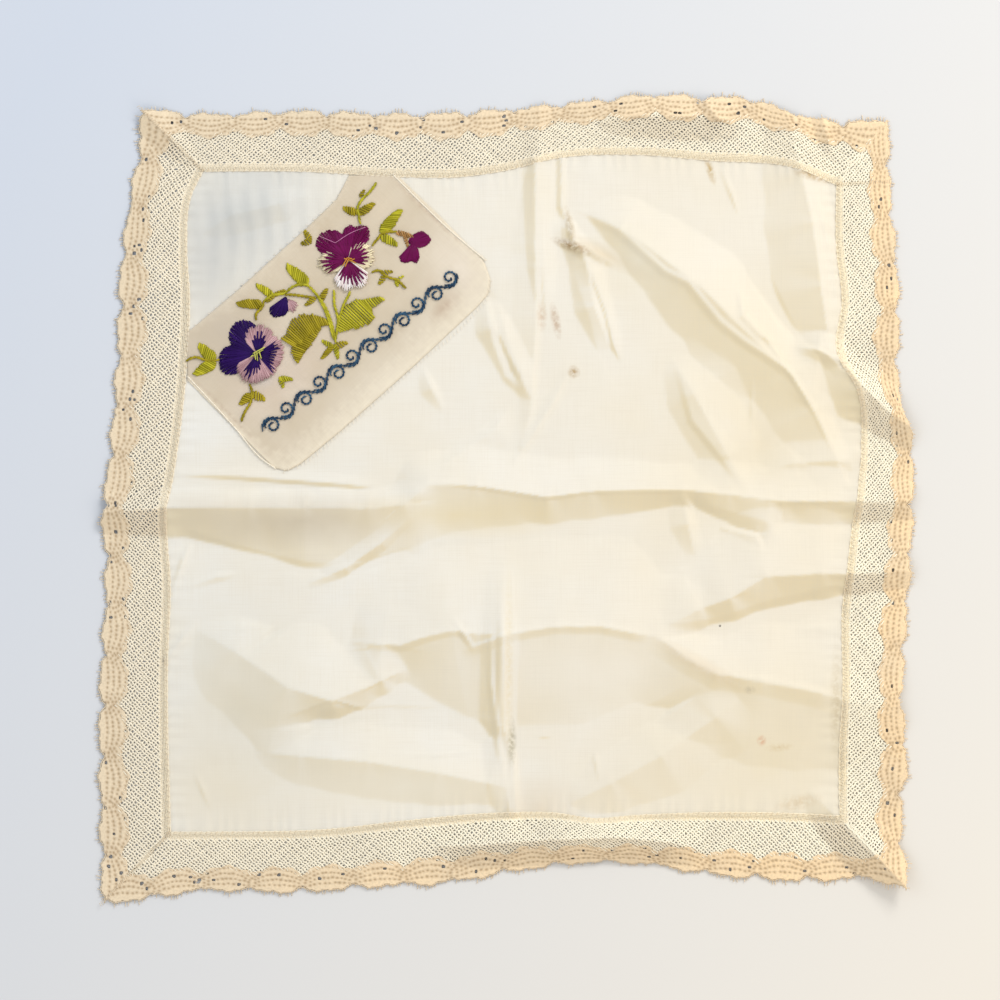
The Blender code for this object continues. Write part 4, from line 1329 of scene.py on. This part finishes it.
# %% [markdown]
# A leaf is a pair of lines, its two sides, and the stitches run from one side to the other.
# A slant starts each stitch a little nearer the base than it ends. Small leaves have rounded sides
# worked out from base, tip and half width, and the two big leaves have their own lines.


# %% Leaves
LEAF_BLUNT = 0.62        # less is widest nearer the base
LEAF_SLANT = 0.10


def satin(floss, side_a, side_b, level=0, spacing=0.72, slant=0.0, uneven=0.06):
    """Stitches laid side by side from one line to another."""
    long = max(measured(side)[1][-1] for side in (side_a, side_b))
    count = max(int(long / spacing), 4)
    shares = np.linspace(0.0, 1.0, count)
    ends_a = np.column_stack(along_line(side_a, np.clip(shares - slant, 0, 1)))
    ends_b = np.column_stack(along_line(side_b, np.clip(shares + slant, 0, 1)))
    for a, b in zip(ends_a, ends_b):
        over = CHANCE.uniform(0, uneven, 2)
        start, stop = a - (b - a) * over[0], b + (b - a) * over[1]
        size = float(np.linalg.norm(stop - start))
        if size > 0.15:
            sewn[floss].append(stitch(start, stop, ON_PANEL + LAYER * level, 0.12 + 0.06 * size))


def leaf(floss, base, tip, half):
    """A small leaf from base to tip, rounded on both sides."""
    shares = np.linspace(0, 1, 9)
    width = half * np.sin(math.pi * shares**LEAF_BLUNT) ** 0.5
    width[0] = width[-1] = 0.3 * half
    run = np.array(tip, dtype=float) - np.array(base, dtype=float)
    out = np.array([-run[1], run[0]]) / np.linalg.norm(run)
    spine = np.array(base) + np.outer(shares, run)
    satin(floss, spine + np.outer(width, out), spine - np.outer(width, out),
          slant=LEAF_SLANT, uneven=0.10)


LEAVES = [
    # floss, base, tip, half width
    ("green", (-45.2, 96.4), (-38.0, 104.9), 1.8), ("green", (-45.2, 95.2), (-39.4, 91.9), 1.4),
    ("olive", (-53.9, 103.5), (-59.0, 105.4), 1.3), ("olive", (-53.2, 103.2), (-47.8, 107.1), 1.3),
    ("olive", (-52.8, 109.6), (-51.4, 111.8), 0.6), ("olive", (-70.9, 93.6), (-73.0, 97.2), 1.0),
    ("olive", (-70.7, 93.6), (-74.1, 92.4), 1.1), ("olive", (-45.3, 81.9), (-41.2, 82.3), 0.7),
    ("olive", (-43.8, 80.9), (-46.0, 77.8), 0.9), ("green", (-40.0, 78.9), (-37.3, 80.7), 0.5),
    ("green", (-39.8, 79.0), (-39.3, 77.1), 0.6), ("green", (-71.8, 77.6), (-79.6, 84.7), 2.0),
    ("green", (-84.6, 73.7), (-90.5, 77.6), 1.2), ("olive", (-69.1, 72.8), (-72.7, 70.2), 0.9),
    ("olive", (-67.3, 71.7), (-64.9, 76.1), 1.0), ("green", (-62.9, 55.2), (-66.6, 57.2), 0.8),
    ("olive", (-62.6, 55.6), (-66.8, 50.8), 0.8), ("olive", (-62.0, 55.2), (-57.6, 56.6), 1.1),
    ("green", (-61.9, 56.0), (-60.9, 50.8), 0.8), ("olive", (-88.4, 70.6), (-97.6, 70.6), 1.6),
    ("green", (-105.6, 50.2), (-111.4, 55.9), 1.9), ("green", (-105.4, 49.6), (-113.1, 45.0), 1.8),
    ("olive", (-92.6, 37.9), (-96.4, 34.2), 1.3), ("olive", (-92.0, 38.2), (-87.4, 35.9), 1.4),
    ("green", (-82.2, 43.6), (-77.4, 43.3), 0.9), ("green", (-81.6, 43.8), (-80.8, 40.4), 0.9),
    ("olive", (-86.9, 71.6), (-84.0, 73.4), 0.7), ("olive", (-84.4, 73.6), (-80.2, 75.6), 0.7),
    ("rust", (-39.9, 96.6), (-33.4, 94.9), 0.9), ("rust", (-36.8, 95.6), (-35.6, 91.4), 0.6),
]
for floss, base, tip, half in LEAVES:
    leaf(floss, base, tip, half)

BIG_RIGHT = ([(-61.4, 61.6), (-60.4, 65.6), (-57.5, 69.6), (-53.6, 72.0), (-52.0, 71.9),
              (-48.6, 72.6), (-46.0, 73.1), (-44.2, 72.5)],
             [(-60.6, 60.2), (-57.4, 61.4), (-53.0, 62.4), (-50.0, 64.2), (-48.2, 66.2),
              (-48.8, 68.8), (-46.8, 70.4), (-44.2, 72.1)])
BIG_LEFT = ([(-64.4, 64.2), (-66.4, 65.6), (-69.6, 66.6), (-74.6, 66.2), (-77.4, 63.6),
             (-79.2, 60.0), (-80.8, 57.8)],
            [(-64.4, 63.2), (-67.0, 62.6), (-69.6, 60.6), (-71.6, 58.6), (-73.6, 57.2),
             (-75.6, 56.0), (-77.4, 55.2)])
BIG_LEFT_LOW = ([(-67.4, 62.2), (-69.4, 60.8), (-72.0, 58.8), (-75.0, 57.0), (-77.5, 55.4),
                 (-77.4, 53.0), (-76.6, 50.6), (-75.4, 49.2)],
                [(-67.0, 61.8), (-68.2, 59.8), (-69.6, 57.6), (-71.4, 55.2), (-73.0, 53.2),
                 (-73.6, 52.4), (-74.6, 50.8), (-75.2, 49.4)])
satin("green", *BIG_RIGHT, level=1, spacing=0.88, slant=0.03, uneven=0.12)
satin("olive", *BIG_LEFT, level=1, spacing=0.88, slant=-0.03, uneven=0.16)
satin("olive", *BIG_LEFT_LOW, level=1, spacing=0.88, slant=0.02, uneven=0.16)

# %% [markdown]
# The throats are a few bold stitches over all the petals. Stems are stem stitch: long stitches
# that overlap, so that the line looks like a rope.

# %% Throats and stems
THROAT_RAISED = 1.75
THROATS = {
    "gold": [((-59.2, 84.2), (-57.4, 87.3)), ((-58.3, 84.0), (-57.0, 86.8)),
             ((-57.4, 87.2), (-55.8, 86.9)), ((-57.0, 86.6), (-54.4, 85.4)),
             ((-56.6, 86.0), (-54.8, 86.9)), ((-57.6, 86.6), (-58.6, 87.0))],
    "lime": [((-87.3, 54.9), (-91.6, 52.6)), ((-87.9, 54.0), (-91.8, 51.6)),
             ((-90.3, 53.2), (-89.9, 50.0)), ((-91.0, 52.6), (-90.6, 50.4)),
             ((-89.4, 53.6), (-88.6, 50.8)), ((-91.6, 52.0), (-92.4, 51.4))],
}
for floss, pairs in THROATS.items():
    for start, stop in pairs:
        sewn[floss].append(stitch(start, stop, ON_PANEL + THROAT_RAISED, 0.25))

STEMS = [
    ("olive", [(-48.7, 91.8), (-46.5, 94.2), (-45.0, 96.0), (-42.8, 96.8), (-39.6, 96.6)]),
    ("green", [(-53.0, 99.6), (-53.3, 102.7), (-53.7, 105.7), (-52.2, 108.4), (-49.6, 111.0),
               (-46.9, 114.4)]),
    ("olive", [(-48.7, 82.3), (-46.1, 82.7), (-43.2, 80.5), (-39.1, 79.0), (-36.4, 76.2)]),
    ("green", [(-62.5, 57.6), (-64.1, 64.3), (-66.7, 70.7), (-69.4, 74.9), (-72.6, 77.6),
               (-76.8, 77.1), (-80.6, 74.4), (-84.3, 73.9), (-88.0, 71.7)]),
    ("green", [(-61.9, 57.6), (-63.4, 64.3), (-66.0, 70.4), (-68.8, 74.4)]),
    ("olive", [(-80.0, 74.1), (-76.8, 73.9), (-72.6, 73.3), (-69.4, 72.8)]),
    ("olive", [(-90.8, 64.8), (-90.4, 67.3), (-88.6, 69.1), (-87.5, 71.6)]),
    ("green", [(-62.0, 56.6), (-60.9, 65.4), (-62.2, 70.7), (-62.2, 75.6)]),
    ("green", [(-60.9, 62.7), (-58.8, 70.2), (-56.3, 75.0)]),
    ("olive", [(-116.0, 50.2), (-112.6, 51.3), (-108.6, 50.2), (-103.9, 50.2)]),
    ("olive", [(-92.7, 41.6), (-92.1, 38.8), (-92.5, 35.1), (-94.5, 31.7), (-96.0, 28.2)]),
]
for floss, line in STEMS:
    sewn[floss] += stem_stitches(line, ON_PANEL + 0.2)
VEIN = [[(-67.9, 95.3), (-61.8, 92.7)], [(-61.8, 92.7), (-56.4, 96.2), (-50.9, 98.4)]]
veins = [cord_path(line, ON_PANEL + 1.0) for line in VEIN]
vein = threads("floss_vein", veins, 0.10, silk("vein", (0.50, 0.20, 0.36)))
vein.parent = panel

# %% [markdown]
# ## The blue scroll
# Beside the flowers runs a line of blue stem stitch. It is an ordinary running scroll: a vine that
# waves along the panel's long edge, with a tendril curling into each of its bends.

# %% A running scroll
SCROLL_FROM, SCROLL_TO = (-88.5, 24.5), (-17.5, 81.5)
SCROLL_WAVES, SCROLL_SWING = 6, 2.3


def scroll_place(run, off):
    """A place on the panel from its distance along the scroll and off to its side."""
    ax, ay = SCROLL_FROM
    bx, by = SCROLL_TO
    long = math.hypot(bx - ax, by - ay)
    way = ((bx - ax) / long, (by - ay) / long)
    return np.column_stack([ax + way[0] * run - way[1] * off, ay + way[1] * run + way[0] * off])


scroll_long = math.dist(SCROLL_FROM, SCROLL_TO)
wave_long = scroll_long / SCROLL_WAVES
run = np.linspace(0, scroll_long, 16 * SCROLL_WAVES)
vine = scroll_place(run, SCROLL_SWING * np.sin(math.tau * run / wave_long))
sewn["blue"] += stem_stitches(vine, ON_PANEL + 0.2, 2.6, 0.85)
for bend in range(2 * SCROLL_WAVES):
    side = 1 if bend % 2 == 0 else -1
    hub = (bend + 0.5) * wave_long / 2 + 0.6
    turn = np.linspace(0, 1, 26)
    angle = math.pi * (0.9 - 2.7 * turn)
    size = 2.9 - 2.1 * turn
    curl = scroll_place(hub + size * np.cos(angle), side * (-0.9 + size * np.sin(angle)))
    sewn["blue"] += stem_stitches(curl, ON_PANEL + 0.2, 1.8, 0.6)

# %% [markdown]
# All threads of one colour become one piece, as they come from one skein.

# %% Turn the stitches into pieces
# Painted gleam: the lit tone of a silk, where a lighter copy of its colour would not do.
PAINTED_GLEAM = {"blue": (0.05, 0.13, 0.22), "pink": (0.66, 0.44, 0.45), "magenta": (0.19, 0.006, 0.10)}
STOUT = {"green": 0.36, "olive": 0.36, "rust": 0.30, "blue": 0.23}
for name, paths in sewn.items():
    material = silk(name, FLOSS[name], PAINTED_GLEAM.get(name))
    flosses = threads("floss_" + name, paths, STOUT.get(name, 0.21), material)
    flosses.parent = panel


# %% [markdown]
# ## Floor, light and camera
# The handkerchief lies on a pale surface and is seen from straight above. A large soft light stands
# near its upper right, so that side is brighter, and weaker cool and warm lights fill in from the
# left and the lower right. The surface's colour also has painted light, cool at the upper left and
# warm at the lower right.

# %% Floor
FLOOR_HEIGHT = -0.0002


def floor():
    """A pale surface just under the cloth, with painted light from cool to warm."""
    shape = bmesh.new()
    bmesh.ops.create_grid(shape, x_segments=1, y_segments=1, size=3.0)
    bmesh.ops.translate(shape, verts=shape.verts, vec=(0, 0, FLOOR_HEIGHT))
    mesh = bpy.data.meshes.new("floor")
    shape.to_mesh(mesh)
    shape.free()
    material, tree, output = start_material("floor_paint")
    # painted light: cool and darker at the upper left, warm and brighter at the lower right
    painted_cool_to_warm_light = drift_node(tree, (-190, 120), (460, 460), -0.62)
    colour = tint_node(tree, painted_cool_to_warm_light, (0.54, 0.58, 0.65), (0.73, 0.69, 0.62))
    surface(tree, output, colour, 0.9, 0.1)
    mesh.materials.append(material)
    add_object("floor", mesh)


floor()


# %% [markdown]
# A window's light is large and soft. Three area lights and a bright world take its place, and
# their tints, with the painted light in the floor's colour, let the floor run from cool to warm. The
# camera looks down from far enough that the cloth is hardly distorted.

# %% Lights and camera
def area_light(name, place, size, power, colour):
    """A square soft light that looks at the middle of the cloth."""
    light = bpy.data.lights.new(name, "AREA")
    light.size = size
    light.energy = power
    light.color = colour
    lamp = add_object(name, light)
    lamp.location = place
    lamp.rotation_euler = (-Vector(place)).to_track_quat("-Z", "Y").to_euler()


area_light("key", (0.62, 0.94, 0.80), 0.45, 10.6, (1.0, 0.985, 0.95))
area_light("cool_fill", (-0.95, 0.25, 0.9), 0.8, 2.6, (0.66, 0.82, 1.0))
area_light("warm_fill", (0.9, -0.9, 0.9), 0.8, 5.2, (1.0, 0.84, 0.62))

world = bpy.data.worlds.new("studio")
world.use_nodes = True
world.node_tree.nodes["Background"].inputs["Color"].default_value = (0.97, 0.98, 1.0, 1)
world.node_tree.nodes["Background"].inputs["Strength"].default_value = 0.78
bpy.context.scene.world = world

CAMERA_HEIGHT = 1.4
FRAME_WIDTH = 0.3625          # metres of cloth that the square picture shows
FRAME_MIDDLE = (-0.0022, -0.0004)
lens = bpy.data.cameras.new("camera")
lens.sensor_width = 36.0
lens.lens = lens.sensor_width * CAMERA_HEIGHT / FRAME_WIDTH
camera = add_object("camera", lens)
camera.location = (*FRAME_MIDDLE, CAMERA_HEIGHT)
bpy.context.scene.camera = camera
bpy.context.scene.view_settings.view_transform = "Standard"
